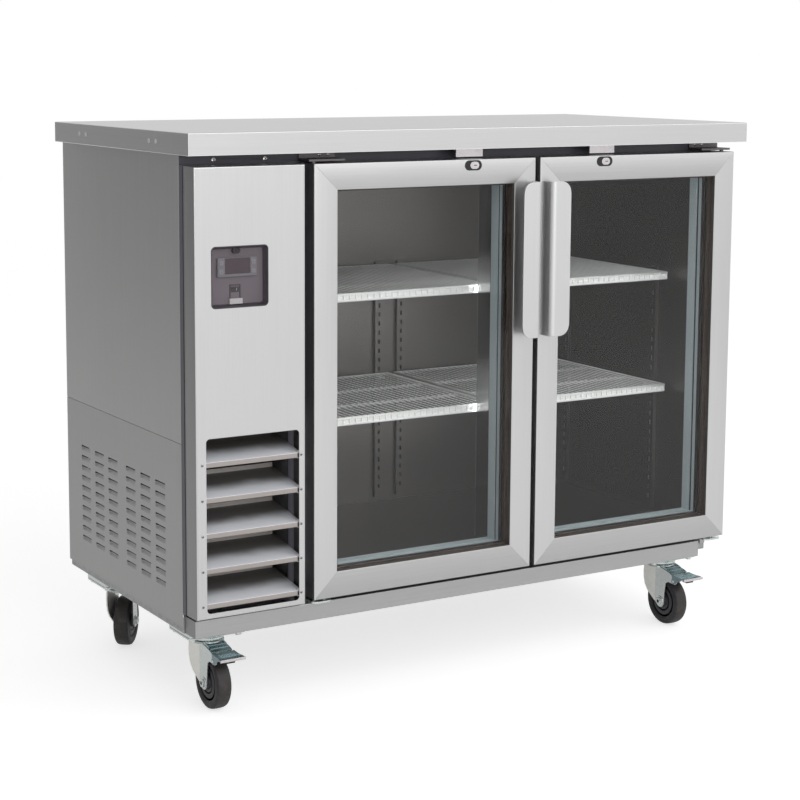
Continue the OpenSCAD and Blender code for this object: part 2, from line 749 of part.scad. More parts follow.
// The barrel sits in the right half of an oval cup
cup_shift = 7;
module lock_cup(x) difference() {
    translate([x - cup_shift, door_setback + 20, lock_z]) rotate([90, 0, 0])
        linear_extrude(20.5) stadium(lock_w - 0.4, lock_h - 0.4);
    along_y([x, 0, lock_z], barrel_r + run_fit, 60);
    translate([x - cup_shift, door_setback + 3, lock_z]) rotate([90, 0, 0])
        linear_extrude(10) stadium(lock_w - 4, lock_h - 4);
}

bush_r = 8;
module hinge_bush(x, z) difference() {
    along_z([x, hinge_y, z], bush_r, 30);
    along_z([x, hinge_y, z - 1], hinge_pin_r + run_fit, 40);
}

module door_frame(x0, hinge_x, lock_x) place() color("lightgray") {
    difference() {
        frame_ring(x0);
        translate([lock_x - cup_shift, door_setback + 3, lock_z]) rotate([90, 0, 0])
            linear_extrude(10) stadium(lock_w, lock_h);
        block([lock_x - 9, cam_y - 1, door_top - 3], [lock_x + 24, cam_y + cam_t + 1, door_top + 1]);
        for (z = [door_z, door_top])
            along_z([hinge_x, hinge_y, z - 5], hinge_pin_r + run_fit, 10);
    }
    hinge_bush(hinge_x, door_z + 1.7);
    hinge_bush(hinge_x, door_top - 31.7);
    lock_cup(lock_x);
}

module glass_unit(x0) place() {
    z0 = door_z + stile_w - glass_lap;
    z1 = door_top - stile_w + glass_lap;
    xa = x0 + stile_w - glass_lap;
    xb = x0 + door_w - stile_w + glass_lap;
    seal = 0.05;
    color("lightblue", 0.3) for (y = [glass_y, glass_y + pane_t + pane_gap])
        block([xa, y, z0], [xb, y + pane_t, z1]);
    color("#3d3632") difference() {
        block([xa, glass_y + pane_t + seal, z0], [xb, glass_y + pane_t + pane_gap - seal, z1]);
        block([xa + glass_lap, glass_y, z0 + glass_lap],
            [xb - glass_lap, glass_y + glass_d, z1 - glass_lap]);
    }
}

gasket_out = 14;
module gasket(x0) place() color("#8f989b") difference() {
    block([x0 + gasket_out, door_back, door_z + gasket_out],
        [x0 + door_w - gasket_out, door_back + gasket_t, door_top - gasket_out]);
    block([x0 + stile_w, door_back - 1, door_z + stile_w],
        [x0 + door_w - stile_w, door_back + gasket_t + 1, door_top - stile_w]);
}

// A bent sheet: a leg from the door's face, a wide bend, and a grip plate whose free
// corners are round. The plate reaches from the leg towards +x.
handle_t = 2.5;
handle_bend = 11;
handle_z = 654;
handle_corner = 22;
leg_inset = 5;
module handle_sheet() {
    intersection() {
        translate([0, 0, handle_z]) linear_extrude(handle_len) {
            translate([0, -handle_reach + handle_bend]) square([handle_t, handle_reach - handle_bend]);
            translate([handle_bend, -handle_reach]) square([handle_w - handle_bend, handle_t]);
            translate([handle_bend, -handle_reach + handle_bend]) intersection() {
                difference() {
                    circle(handle_bend);
                    circle(handle_bend - handle_t);
                }
                translate([-handle_bend, -handle_bend]) square(handle_bend);
            }
        }
        translate([0, 1, handle_z]) rotate([90, 0, 0]) linear_extrude(handle_reach + 2)
            handle_outline();
    }
}
module handle_outline() {
    square([handle_w - handle_corner, handle_len]);
    translate([0, handle_corner]) square([handle_w, handle_len - 2 * handle_corner]);
    for (z = [handle_corner, handle_len - handle_corner])
        translate([handle_w - handle_corner, z]) circle(handle_corner);
}

module lock(x) place() color("silver") {
    along_y([x, door_setback - 0.6, lock_z], barrel_r, cam_y - door_setback + 0.7);
    along_y([x, cam_y, lock_z], barrel_r, cam_t);
    block([x, cam_y, lock_z - 5], [x + 22, cam_y + cam_t, lock_z + 5]);
}

module door_left_frame() door_frame(door_l_x0, hinge_l_x, lock_l_x);
module door_left_glass() glass_unit(door_l_x0);
module door_left_gasket() gasket(door_l_x0);
module door_left_handle() place() color("silver")
    translate([door_l_x0 + door_w - leg_inset, door_setback, 0]) mirror([1, 0, 0]) handle_sheet();
module lock_left() lock(lock_l_x);
module door_right_frame() door_frame(door_r_x0, hinge_r_x, lock_r_x);
module door_right_glass() glass_unit(door_r_x0);
module door_right_gasket() gasket(door_r_x0);
module door_right_handle() place() color("silver")
    translate([door_r_x0 + leg_inset, door_setback, 0]) handle_sheet();
module lock_right() lock(lock_r_x);

// ---- Casters ----
// A caster is drawn round its swivel axis at the origin; its wheel trails towards +u, the
// local x axis, and turn is the direction of +u from the part's +x.

bolt_dx = 92;
bolt_dy = 70;
bolt_head_r = 6.5;
bolt_head_t = 5.5;

// Packing between a caster's plate and the base
module caster_pad() difference() {
    block([-plate_w / 2, -plate_l / 2, plate_top], [plate_w / 2, plate_l / 2, base_z + 0.1]);
    translate([0, 0, plate_top - 1]) cylinder(r = 14, h = pad_t);
}

module caster_plate(p) translate(p) difference() {
    union() {
        block([-plate_w / 2, -plate_l / 2, plate_top - plate_t],
            [plate_w / 2, plate_l / 2, plate_top - 0.02]);
        translate([0, 0, race_bottom + 5]) cylinder(r = 27, h = 8);
        translate([0, 0, race_bottom]) cylinder(r = 31, h = 5.5);
        for (x = [-1, 1] * bolt_dx / 2, y = [-1, 1] * bolt_dy / 2)
            translate([x, y, plate_top - plate_t - bolt_head_t])
                cylinder(r = bolt_head_r, h = bolt_head_t + eps, $fn = 6);
    }
    translate([0, 0, race_bottom - 1]) cylinder(r = kingpin_r + run_fit, h = 40);
}

front_l = [caster_l_x, front_caster_y, 0];
front_r = [caster_r_x, front_caster_y, 0];
rear_l = [rear_l_x, rear_caster_y, 0];
rear_r = [caster_r_x, rear_caster_y, 0];
forward = -90;
back_l = 90 - rear_left_yaw;
back_r = 90 - rear_right_yaw;

module caster_plates() place() color("#c5ccc9") for (p = [front_l, front_r, rear_l, rear_r])
    caster_plate(p);

// Outline of a fork leg in the plane of u and z
module leg_outline(ear) {
    back = -24;
    polygon([[back, crown_top], [back - 3, crown_top - 14], [trail - 13, axle_z + 10],
        [trail - 12, axle_z - 2], [trail + 12, axle_z - 2], [trail + 13, axle_z + 10],
        [trail + 10, crown_top - 30], [trail + 22, crown_top - 12], [26, crown_top]]);
    translate([trail, axle_z]) circle(13);
    if (ear) {
        polygon([[10, crown_top - 1], [10, crown_top - 20], [trail + 20, crown_top - 18],
            [pedal_u - 5, pedal_z - 6], [pedal_u + 3, pedal_z + 6]]);
        translate([pedal_u, pedal_z]) circle(7);
    }
}

module fork(p, turn, ear) place() color("#c5ccc9") translate(p) rotate([0, 0, turn]) {
    difference() {
        union() {
            translate([0, 0, crown_top - crown_t]) intersection() {
                cylinder(r = 33, h = crown_t);
                block([-24, -40, -1], [40, 40, crown_t + 1]);
            }
            for (v = [-leg_out, leg_out - leg_t]) translate([0, v + leg_t, 0]) rotate([90, 0, 0])
                linear_extrude(leg_t) leg_outline(ear);
            translate([0, 0, crown_top - crown_t]) cylinder(r = kingpin_r, h = 15.3 + crown_t);
        }
        if (ear) translate([pedal_u, -leg_out - 1, pedal_z]) rotate([-90, 0, 0])
            cylinder(r = pedal_pin_r + run_fit, h = 2 * leg_out + 2);
    }
    translate([trail, -leg_out - 0.1, axle_z]) rotate([-90, 0, 0])
        cylinder(r = axle_r, h = 2 * leg_out + 0.2);
    for (v = [-leg_out - 5, leg_out]) translate([trail, v, axle_z]) rotate([-90, 0, 0])
        cylinder(r = 9, h = 5, $fn = 6);
}

// Tyre and hub, turned round the axle
tyre_r = wheel_d / 2;
hub_out = 33;
bond = 0.05;
module wheel(p, turn) place() translate(p) rotate([0, 0, turn]) translate([trail, 0, axle_z])
    rotate([-90, 0, 0]) {
        half = wheel_w / 2;
        color("#2e2d30") rotate_extrude($fn = 96) {
            translate([hub_out, -half + 3]) square([tyre_r - 8 - hub_out, wheel_w - 6]);
            difference() {
                translate([tyre_r - half, 0]) circle(half);
                translate([tyre_r - 2 * half, -half]) square([half - 8 + 0.1, 2 * half]);
            }
        }
        color("#3b3c3f") rotate_extrude($fn = 96) {
            translate([axle_r + run_fit, -half - 1.5]) square([10, wheel_w + 3]);
            translate([axle_r + run_fit, -half + 7])
                square([hub_out - bond - axle_r - run_fit, wheel_w - 14]);
            translate([hub_out - 5, -half + 4]) square([5 - bond, wheel_w - 8]);
        }
    }

module pedal(p) place() color("#b8bcbe") translate(p) rotate([0, 0, forward]) {
    out = leg_out + 0.4;
    tread_z = pedal_z + 10;
    for (v = [-out - 2, out]) translate([0, v + 2, 0]) rotate([90, 0, 0]) linear_extrude(2) {
        translate([pedal_u, pedal_z]) circle(6);
        polygon([[pedal_u - 6, pedal_z], [pedal_u + 5, pedal_z - 3], [pedal_u + 26, tread_z],
            [pedal_u + 26, tread_z + 3], [pedal_u - 6, tread_z + 3]]);
    }
    block([pedal_u - 4, -out - 2, tread_z], [pedal_u + 26, out + 2, tread_z + 3]);
    block([pedal_u + 25, -out - 3, tread_z - 1], [pedal_u + 37, out + 3, tread_z + 4]);
    block([pedal_u + 14, -9, tread_z - 10], [pedal_u + 28, 9, tread_z + 0.1]);
    translate([pedal_u, -out - 3, pedal_z]) rotate([-90, 0, 0])
        cylinder(r = pedal_pin_r, h = 2 * out + 6);
}

module caster_fork_fl() fork(front_l, forward, true);
module caster_fork_fr() fork(front_r, forward, true);
module caster_fork_rl() fork(rear_l, back_l, false);
module caster_fork_rr() fork(rear_r, back_r, false);
module caster_wheel_fl() wheel(front_l, forward);
module caster_wheel_fr() wheel(front_r, forward);
module caster_wheel_rl() wheel(rear_l, back_l);
module caster_wheel_rr() wheel(rear_r, back_r);
module brake_pedal_fl() pedal(front_l);
module brake_pedal_fr() pedal(front_r);

countertop();
side_panel_upper_left();
side_panel_louvred_left();
side_panel_right();
back_panel();
chassis();
face_frame();
mullion_post();
breaker_strips();
insulation();
liner();
front_panel();
grille_blades();
screws_and_rivets();
control_bezel();
controller();
controller_key_1();
controller_key_2();
controller_key_3();
controller_key_4();
rocker_switch();
control_cover();
shelves_upper();
shelves_lower();
pilasters();
shelf_clips();
light_strips();
evaporator_cover();
evaporator_coil();
evaporator_fan();
condenser_coil();
fan_shroud();
condenser_fan();
compressor();
refrigerant_lines();
electrical_box();
condensate_pan();
hinge_brackets();
lock_strikes();
caster_plates();
door_left_frame();
door_left_glass();
door_left_gasket();
door_left_handle();
lock_left();
door_right_frame();
door_right_glass();
door_right_gasket();
door_right_handle();
lock_right();
caster_fork_fl();
caster_fork_fr();
caster_fork_rl();
caster_fork_rr();
caster_wheel_fl();
caster_wheel_fr();
caster_wheel_rl();
caster_wheel_rr();
brake_pedal_fl();
brake_pedal_fr();
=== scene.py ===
"""A two-door undercounter refrigerator on casters, dressed for rendering.

Pieces are made in shop millimetres: x from the counter's left end, y from the counter's front
edge towards the back, z from the floor. at() turns them into the frame's metres. Sections come
in this order: the frame, drawing tools, finishes, then the refrigerator from the counter down
to the casters, and last the studio and camera.
"""
import math

import bmesh
import bpy
from mathutils import Matrix, Vector


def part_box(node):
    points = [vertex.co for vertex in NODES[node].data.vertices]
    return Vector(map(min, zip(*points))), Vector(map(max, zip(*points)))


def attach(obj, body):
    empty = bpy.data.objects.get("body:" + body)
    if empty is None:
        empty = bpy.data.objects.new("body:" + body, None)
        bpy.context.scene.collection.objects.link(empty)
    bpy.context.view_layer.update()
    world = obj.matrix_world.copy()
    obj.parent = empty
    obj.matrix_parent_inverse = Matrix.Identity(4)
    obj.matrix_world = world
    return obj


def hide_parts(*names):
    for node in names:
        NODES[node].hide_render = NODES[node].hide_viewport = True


# ---------------------------------------------------------------- the frame

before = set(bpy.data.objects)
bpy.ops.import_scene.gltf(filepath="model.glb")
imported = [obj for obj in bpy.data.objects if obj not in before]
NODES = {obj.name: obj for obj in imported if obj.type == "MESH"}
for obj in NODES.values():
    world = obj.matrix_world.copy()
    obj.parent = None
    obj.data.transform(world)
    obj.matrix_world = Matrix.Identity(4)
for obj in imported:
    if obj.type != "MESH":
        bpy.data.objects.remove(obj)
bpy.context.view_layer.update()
MM = 0.001
LEFT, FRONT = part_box("countertop")[0][:2]


def at(x, y, z):
    """A place in shop millimetres, as a vector in the frame's metres."""
    return Vector((LEFT + x * MM, FRONT + y * MM, z * MM))


def span(node):
    """The lowest and highest corners of a node, in shop millimetres."""
    low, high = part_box(node)
    shop = [[(c.x - LEFT) / MM, (c.y - FRONT) / MM, c.z / MM] for c in (low, high)]
    return shop[0], shop[1]


# ------------------------------------------------------------ drawing tools


def arc(cx, cy, r, start, end, steps):
    """Points on an arc, with its angles in degrees."""
    turns = [math.radians(start + (end - start) * i / steps) for i in range(steps + 1)]
    return [(cx + r * math.cos(t), cy + r * math.sin(t)) for t in turns]


def rounded(x0, z0, x1, z1, r, steps=6):
    """The outline of a rectangle with round corners."""
    return (arc(x1 - r, z0 + r, r, -90, 0, steps) + arc(x1 - r, z1 - r, r, 0, 90, steps)
            + arc(x0 + r, z1 - r, r, 90, 180, steps) + arc(x0 + r, z0 + r, r, 180, 270, steps))


def stadium(cx, cz, w, h, steps=10):
    """The outline of an oblong with half-round ends."""
    reach = (w - h) / 2
    return (arc(cx + reach, cz, h / 2, -90, 90, steps)
            + arc(cx - reach, cz, h / 2, 90, 270, steps))


def facing_front(y):
    """A plane of x and z at depth y."""
    return lambda u, v: at(u, y, v)


def facing_side(x):
    """A plane of y and z at distance x from the counter's left end."""
    return lambda u, v: at(x, u, v)


NEEDLE = 0.02  # the least radius of a turned part, so that its tip keeps whole faces


class Stock:
    """Metal, plastic or rubber that is gathered into one piece."""

    def __init__(self):
        self.mesh = bmesh.new()

    def skin(self, loops, kind=0, wrap=False, caps=True):
        """Joins loops of points with faces. The first and last are capped, or joined."""
        rings = [[self.mesh.verts.new(p) for p in loop] for loop in loops]
        count = len(rings[0])
        pairs = list(zip(rings, rings[1:])) + ([(rings[-1], rings[0])] if wrap else [])
        faces = [self.mesh.faces.new((a[i], a[(i + 1) % count], b[(i + 1) % count], b[i]))
                 for a, b in pairs for i in range(count)]
        if caps and not wrap:
            faces += [self.mesh.faces.new(rings[0][::-1]), self.mesh.faces.new(rings[-1])]
        for face in faces:
            face.material_index = kind

    def prism(self, outline, lift, kind=0):
        """A flat outline of frame points, thickened along a vector."""
        self.skin([outline, [p + lift for p in outline]], kind)

    def block(self, low, high, kind=0):
        """A block between two corners in shop millimetres."""
        (x0, y0, z0), (x1, y1, z1) = low, high
        base = [at(x0, y0, z0), at(x1, y0, z0), at(x1, y1, z0), at(x0, y1, z0)]
        self.prism(base, Vector((0, 0, (z1 - z0) * MM)), kind)

    def turned(self, profile, centre, axis, kind=0, steps=48):
        """A turned part: profile lists (radius, distance along the axis) in millimetres."""
        axis = Vector(axis).normalized()
        across = axis.orthogonal().normalized()
        other = axis.cross(across)
        turns = [2 * math.pi * i / steps for i in range(steps)]
        spokes = [across * math.cos(t) + other * math.sin(t) for t in turns]
        self.skin([[centre + (axis * h + s * max(r, NEEDLE)) * MM for s in spokes]
                   for r, h in profile], kind)

    def bar(self, start, end, r, kind=0, steps=14):
        """A round bar between two frame points."""
        length = (end - start).length / MM
        self.turned([(r, 0), (r, length)], start, end - start, kind, steps)

    def plate(self, outline, holes, place, lift, kind=0):
        """A flat sheet with holes: outlines are pairs, place turns them into frame points."""
        edges = []
        for loop in [outline] + holes:
            verts = [self.mesh.verts.new(place(u, v)) for u, v in loop]
            edges += [self.mesh.edges.new((verts[i - 1], verts[i])) for i in range(len(verts))]
        filled = bmesh.ops.triangle_fill(self.mesh, use_beauty=True, edges=edges)
        faces = [g for g in filled["geom"] if isinstance(g, bmesh.types.BMFace)]
        grown = bmesh.ops.extrude_face_region(self.mesh, geom=faces)["geom"]
        moved = [g for g in grown if isinstance(g, bmesh.types.BMVert)]
        bmesh.ops.translate(self.mesh, vec=lift, verts=moved)
        for face in faces + [g for g in grown if isinstance(g, bmesh.types.BMFace)]:
            face.material_index = kind
        for vert in moved:
            for face in vert.link_faces:
                face.material_index = kind

    def shell(self, front, rear, kind=0):
        """A sheet between two matching grids of frame points."""
        near = [[self.mesh.verts.new(p) for p in row] for row in front]
        far = [[self.mesh.verts.new(p) for p in row] for row in rear]
        tall, wide = len(near), len(near[0])
        quads = []
        for side in (near, far):
            quads += [(side[j][i], side[j][i + 1], side[j + 1][i + 1], side[j + 1][i])
                      for j in range(tall - 1) for i in range(wide - 1)]
        rim = ([(0, i) for i in range(wide)] + [(j, wide - 1) for j in range(1, tall)]
               + [(tall - 1, i) for i in range(wide - 2, -1, -1)]
               + [(j, 0) for j in range(tall - 2, 0, -1)])
        for (j, i), (k, m) in zip(rim, rim[1:] + rim[:1]):
            quads.append((near[j][i], near[k][m], far[k][m], far[j][i]))
        for quad in quads:
            self.mesh.faces.new(quad).material_index = kind

    def slab(self, rows, lift, kind=0):
        """A curved sheet through rows of frame points, thickened along a vector."""
        self.shell(rows, [[p + lift for p in row] for row in rows], kind)

    def ring(self, low, high, section, kind=0):
        """A section carried round a rectangle. It lists (distance inwards, depth y)."""
        corners = [(low[0], low[1], 1, 1), (high[0], low[1], -1, 1),
                   (high[0], high[1], -1, -1), (low[0], high[1], 1, -1)]
        self.skin([[at(x + a * u, y, z + b * u) for u, y in section]
                   for x, z, a, b in corners], kind, wrap=True)

    def tag(self, direction, kind):
        """Gives the faces that look in one direction another finish."""
        same_way = 0.85
        bmesh.ops.recalc_face_normals(self.mesh, faces=self.mesh.faces)
        for face in self.mesh.faces:
            if face.normal.dot(Vector(direction)) > same_way:
                face.material_index = kind

    def piece(self, name, body, finishes, edge=0.4, stands_for=(), turn=30):
        """Turns the stock into an object with small rounded edges that rides on a body."""
        bmesh.ops.recalc_face_normals(self.mesh, faces=self.mesh.faces)
        mesh = bpy.data.meshes.new(name)
        self.mesh.to_mesh(mesh)
        self.mesh.free()
        mesh.polygons.foreach_set("use_smooth", [True] * len(mesh.polygons))
        mesh.set_sharp_from_angle(angle=math.radians(turn))
        thing = bpy.data.objects.new(name, mesh)
        if edge:
            soften(thing, edge, turn)
        return settle(thing, body, finishes, stands_for)


def soften(thing, edge, turn=30):
    """Rounds a thing's sharp edges by a width in millimetres."""
    rounding = thing.modifiers.new("rounded edges", "BEVEL")
    rounding.width = edge * MM
    rounding.segments = 2
    rounding.limit_method = "ANGLE"
    rounding.angle_limit = math.radians(turn)
    rounding.harden_normals = True
    rounding.miter_outer = "MITER_ARC"


def settle(thing, body, finishes, stands_for=()):
    """Links a new object, gives it its finishes, and lets it ride on a body."""
    bpy.context.scene.collection.objects.link(thing)
    for finish in finishes if isinstance(finishes, (list, tuple)) else [finishes]:
        thing.data.materials.append(finish)
    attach(thing, body)
    if stands_for:
        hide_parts(*stands_for)
    return thing


def wires(name, body, runs, r, finish, stands_for=()):
    """Round wires through lists of shop points."""
    curve = bpy.data.curves.new(name, "CURVE")
    curve.dimensions = "3D"
    curve.bevel_depth = r * MM
    curve.bevel_resolution = 2
    curve.use_fill_caps = True
    for run in runs:
        line = curve.splines.new("POLY")
        line.points.add(len(run) - 1)
        for point, place in zip(line.points, run):
            point.co = (*at(*place), 1)
        line.use_smooth = True
    return settle(bpy.data.objects.new(name, curve), body, finish, stands_for)


# ------------------------------------------------------- shared finish effects


def effect(name, inputs, outputs):
    """An empty shader node group with named sockets, and its first and last nodes."""
    tree = bpy.data.node_groups.new(name, "ShaderNodeTree")
    for label, kind, value in inputs:
        socket = tree.interface.new_socket(name=label, in_out="INPUT", socket_type=kind)
        socket.default_value = value
    for label, kind in outputs:
        tree.interface.new_socket(name=label, in_out="OUTPUT", socket_type=kind)
    return tree, tree.nodes.new("NodeGroupInput"), tree.nodes.new("NodeGroupOutput")


def add(tree, kind, **values):
    """A shader node. Lower-case names set its properties, the others its sockets."""
    made = tree.nodes.new("ShaderNode" + kind)
    for name, value in values.items():
        if name[0].islower():
            setattr(made, name, value)
        else:
            made.inputs[name.replace("_", " ")].default_value = value
    return made


def join(tree, *pairs):
    """Links pairs of sockets."""
    for source, target in pairs:
        tree.links.new(source, target)


def brushed_lines():
    """Fine lines left by a brushing belt: Stretch says how fast they change along each axis."""
    tree, start, end = effect(
        "brushed lines",
        [("Stretch", "NodeSocketVector", (1200, 1200, 8))],
        [("Lines", "NodeSocketFloat"), ("Height", "NodeSocketFloat")])
    place = add(tree, "TexCoord")
    stretched = add(tree, "VectorMath", operation="MULTIPLY")
    coarse = add(tree, "TexNoise", Scale=0.35, Detail=2.0, Roughness=0.6)
    fine = add(tree, "TexNoise", Scale=1.0, Detail=3.0, Roughness=0.7)
    blend = add(tree, "Math", operation="MULTIPLY_ADD")
    blend.inputs[1].default_value = 0.6
    half = add(tree, "Math", operation="MULTIPLY")
    half.inputs[1].default_value = 0.4
    join(tree, (place.outputs["Object"], stretched.inputs[0]),
         (start.outputs["Stretch"], stretched.inputs[1]),
         (stretched.outputs[0], coarse.inputs["Vector"]),
         (stretched.outputs[0], fine.inputs["Vector"]),
         (coarse.outputs[0], half.inputs[0]), (fine.outputs[0], blend.inputs[0]),
         (half.outputs[0], blend.inputs[2]), (blend.outputs[0], end.inputs["Lines"]),
         (fine.outputs[0], end.inputs["Height"]))
    return tree


def handled_surface():
    """Slow changes of tone, as cleaning and handling leave them, and a mask of faint smears."""
    tree, start, end = effect(
        "handled surface",
        [("Colour", "NodeSocketColor", (0.5, 0.5, 0.5, 1)), ("Size", "NodeSocketFloat", 4.0),
         ("Amount", "NodeSocketFloat", 0.05)],
        [("Colour", "NodeSocketColor"), ("Smears", "NodeSocketFloat")])
    place = add(tree, "TexCoord")
    broad = add(tree, "TexNoise", Detail=3.0, Roughness=0.55, Distortion=0.6)
    swing = add(tree, "Math", operation="SUBTRACT")
    swing.inputs[1].default_value = 0.5
    scaled = add(tree, "Math", operation="MULTIPLY")
    gain = add(tree, "Math", operation="ADD")
    gain.inputs[1].default_value = 1.0
    toned = add(tree, "VectorMath", operation="SCALE")
    smears = add(tree, "MapRange", From_Min=0.52, From_Max=0.75)
    join(tree, (place.outputs["Object"], broad.inputs["Vector"]),
         (start.outputs["Size"], broad.inputs["Scale"]), (broad.outputs[0], swing.inputs[0]),
         (swing.outputs[0], scaled.inputs[0]), (start.outputs["Amount"], scaled.inputs[1]),
         (scaled.outputs[0], gain.inputs[0]), (start.outputs["Colour"], toned.inputs[0]),
         (gain.outputs[0], toned.inputs["Scale"]), (toned.outputs[0], end.inputs["Colour"]),
         (broad.outputs[0], smears.inputs["Value"]), (smears.outputs[0], end.inputs["Smears"]))
    return tree


def floor_dust():
    """Dust that gathers on what is close to the floor, up to Reach metres."""
    tree, start, end = effect(
        "floor dust",
        [("Colour", "NodeSocketColor", (0.5, 0.5, 0.5, 1)),
         ("Dust", "NodeSocketColor", (0.45, 0.42, 0.38, 1)), ("Reach", "NodeSocketFloat", 0.2),
         ("Amount", "NodeSocketFloat", 0.2)],
        [("Colour", "NodeSocketColor"), ("Mask", "NodeSocketFloat")])
    place = add(tree, "NewGeometry")
    parts = add(tree, "SeparateXYZ")
    low = add(tree, "MapRange", From_Min=0.0, To_Min=1.0, To_Max=0.0)
    specks = add(tree, "TexNoise", Scale=180.0, Detail=4.0, Roughness=0.7)
    patchy = add(tree, "MapRange", From_Min=0.35, From_Max=0.75)
    mask = add(tree, "Math", operation="MULTIPLY")
    share = add(tree, "Math", operation="MULTIPLY")
    mixed = add(tree, "Mix", data_type="RGBA")
    join(tree, (place.outputs["Position"], parts.inputs[0]),
         (parts.outputs["Z"], low.inputs["Value"]),
         (start.outputs["Reach"], low.inputs["From Max"]),
         (place.outputs["Position"], specks.inputs["Vector"]),
         (specks.outputs[0], patchy.inputs["Value"]), (low.outputs[0], mask.inputs[0]),
         (patchy.outputs[0], mask.inputs[1]), (mask.outputs[0], share.inputs[0]),
         (start.outputs["Amount"], share.inputs[1]), (share.outputs[0], mixed.inputs["Factor"]),
         (start.outputs["Colour"], mixed.inputs["A"]), (start.outputs["Dust"], mixed.inputs["B"]),
         (mixed.outputs["Result"], end.inputs["Colour"]), (share.outputs[0], end.inputs["Mask"]))
    return tree


def fine_texture():
    """The small bumps of a moulded, coated or rubber surface."""
    tree, start, end = effect(
        "fine texture",
        [("Scale", "NodeSocketFloat", 900.0)],
        [("Height", "NodeSocketFloat"), ("Specks", "NodeSocketFloat")])
    place = add(tree, "TexCoord")
    bumps = add(tree, "TexNoise", Detail=2.0, Roughness=0.6)
    cells = add(tree, "TexVoronoi", feature="F1")
    lumps = add(tree, "Math", operation="MULTIPLY_ADD")
    lumps.inputs[1].default_value = 0.5
    join(tree, (place.outputs["Object"], bumps.inputs["Vector"]),
         (place.outputs["Object"], cells.inputs["Vector"]),
         (start.outputs["Scale"], bumps.inputs["Scale"]),
         (start.outputs["Scale"], cells.inputs["Scale"]),
         (cells.outputs["Distance"], lumps.inputs[0]),
         (bumps.outputs[0], lumps.inputs[2]), (lumps.outputs[0], end.inputs["Height"]),
         (bumps.outputs[0], end.inputs["Specks"]))
    return tree


BRUSHED = brushed_lines()
HANDLED = handled_surface()
DUSTY = floor_dust()
TEXTURED = fine_texture()


def start_finish(name, **sockets):
    """A new material with its Principled shader, whose plain sockets are set by name."""
    finish = bpy.data.materials.new(name)
    finish.use_nodes = True
    tree = finish.node_tree
    shader = tree.nodes["Principled BSDF"]
    for label, value in sockets.items():
        shader.inputs[label.replace("_", " ")].default_value = value
    return finish, tree, shader


def place_effect(tree, group, **values):
    """One use of a shared effect, with its own values."""
    made = tree.nodes.new("ShaderNodeGroup")
    made.node_tree = group
    for label, value in values.items():
        made.inputs[label].default_value = value
    return made


def set_range(tree, source, target, low, high):
    """Feeds a 0 to 1 mask into a socket as a range of values."""
    spread = add(tree, "MapRange", To_Min=low, To_Max=high)
    join(tree, (source, spread.inputs["Value"]), (spread.outputs[0], target))


def press_bumps(tree, height, shader, strength, depth):
    """Turns a height into small bumps on the shader's surface."""
    bump = add(tree, "Bump", Strength=strength, Distance=depth)
    join(tree, (height, bump.inputs["Height"]), (bump.outputs[0], shader.inputs["Normal"]))


def grey(value, warmth=0.0):
    """A grey in linear light, warmer or cooler by a small share."""
    return (value * (1 + warmth), value, value * (1 - warmth), 1)


# ------------------------------------------------------------------ finishes

ALONG_X, ALONG_Y, ALONG_Z = (9, 1500, 1500), (1500, 9, 1500), (1500, 1500, 9)


def brushed_steel(name, tone, grain, rough=(0.27, 0.42), tint=0.0, smear=0.05, lines=0.16):
    """Stainless sheet with a brushed grain, faint smears, and dust near the floor."""
    finish, tree, shader = start_finish(name, Metallic=1.0)
    grained = place_effect(tree, BRUSHED, Stretch=grain)
    toned = place_effect(tree, HANDLED, Colour=grey(tone, tint), Size=3.2, Amount=smear)
    dusty = place_effect(tree, DUSTY, Reach=0.3, Amount=0.1)
    streaked = add(tree, "Mix", data_type="RGBA", blend_type="OVERLAY", Factor=lines)
    join(tree, (toned.outputs["Colour"], streaked.inputs["A"]),
         (grained.outputs["Lines"], streaked.inputs["B"]),
         (streaked.outputs["Result"], dusty.inputs["Colour"]),
         (dusty.outputs["Colour"], shader.inputs["Base Color"]))
    set_range(tree, grained.outputs["Lines"], shader.inputs["Roughness"], rough[0], rough[1])
    press_bumps(tree, grained.outputs["Height"], shader, 0.06, 0.0002)
    return finish


def zinc_plate(name, tone, tint=(0.97, 1.03, 1.02), rough=(0.22, 0.42)):
    """Bright zinc over pressed steel: soft spangles and a cool cast."""
    colour = (tone * tint[0], tone * tint[1], tone * tint[2], 1)
    finish, tree, shader = start_finish(name, Metallic=0.9)
    toned = place_effect(tree, HANDLED, Colour=colour, Size=38.0, Amount=0.22)
    grain = place_effect(tree, TEXTURED, Scale=520.0)
    dusty = place_effect(tree, DUSTY, Reach=0.16, Amount=0.3)
    join(tree, (toned.outputs["Colour"], dusty.inputs["Colour"]),
         (dusty.outputs["Colour"], shader.inputs["Base Color"]))
    set_range(tree, toned.outputs["Smears"], shader.inputs["Roughness"], rough[0], rough[1])
    press_bumps(tree, grain.outputs["Height"], shader, 0.08, 0.0003)
    return finish


def galvanised_sheet(name, tone):
    """Galvanised sheet, whose zinc crystals show as patches of changing grey."""
    finish, tree, shader = start_finish(name, Metallic=0.85)
    place = add(tree, "TexCoord")
    crystals = add(tree, "TexVoronoi", feature="F1", Scale=130.0)
    shade = add(tree, "SeparateColor")
    toned = place_effect(tree, HANDLED, Size=5.0, Amount=0.12)
    mixed = add(tree, "Mix", data_type="RGBA", A=grey(tone * 0.92), B=grey(tone * 1.06, -0.02))
    join(tree, (place.outputs["Object"], crystals.inputs["Vector"]),
         (crystals.outputs["Color"], shade.inputs[0]), (shade.outputs[0], mixed.inputs["Factor"]),
         (mixed.outputs["Result"], toned.inputs["Colour"]),
         (toned.outputs["Colour"], shader.inputs["Base Color"]))
    set_range(tree, shade.outputs[1], shader.inputs["Roughness"], 0.38, 0.58)
    return finish


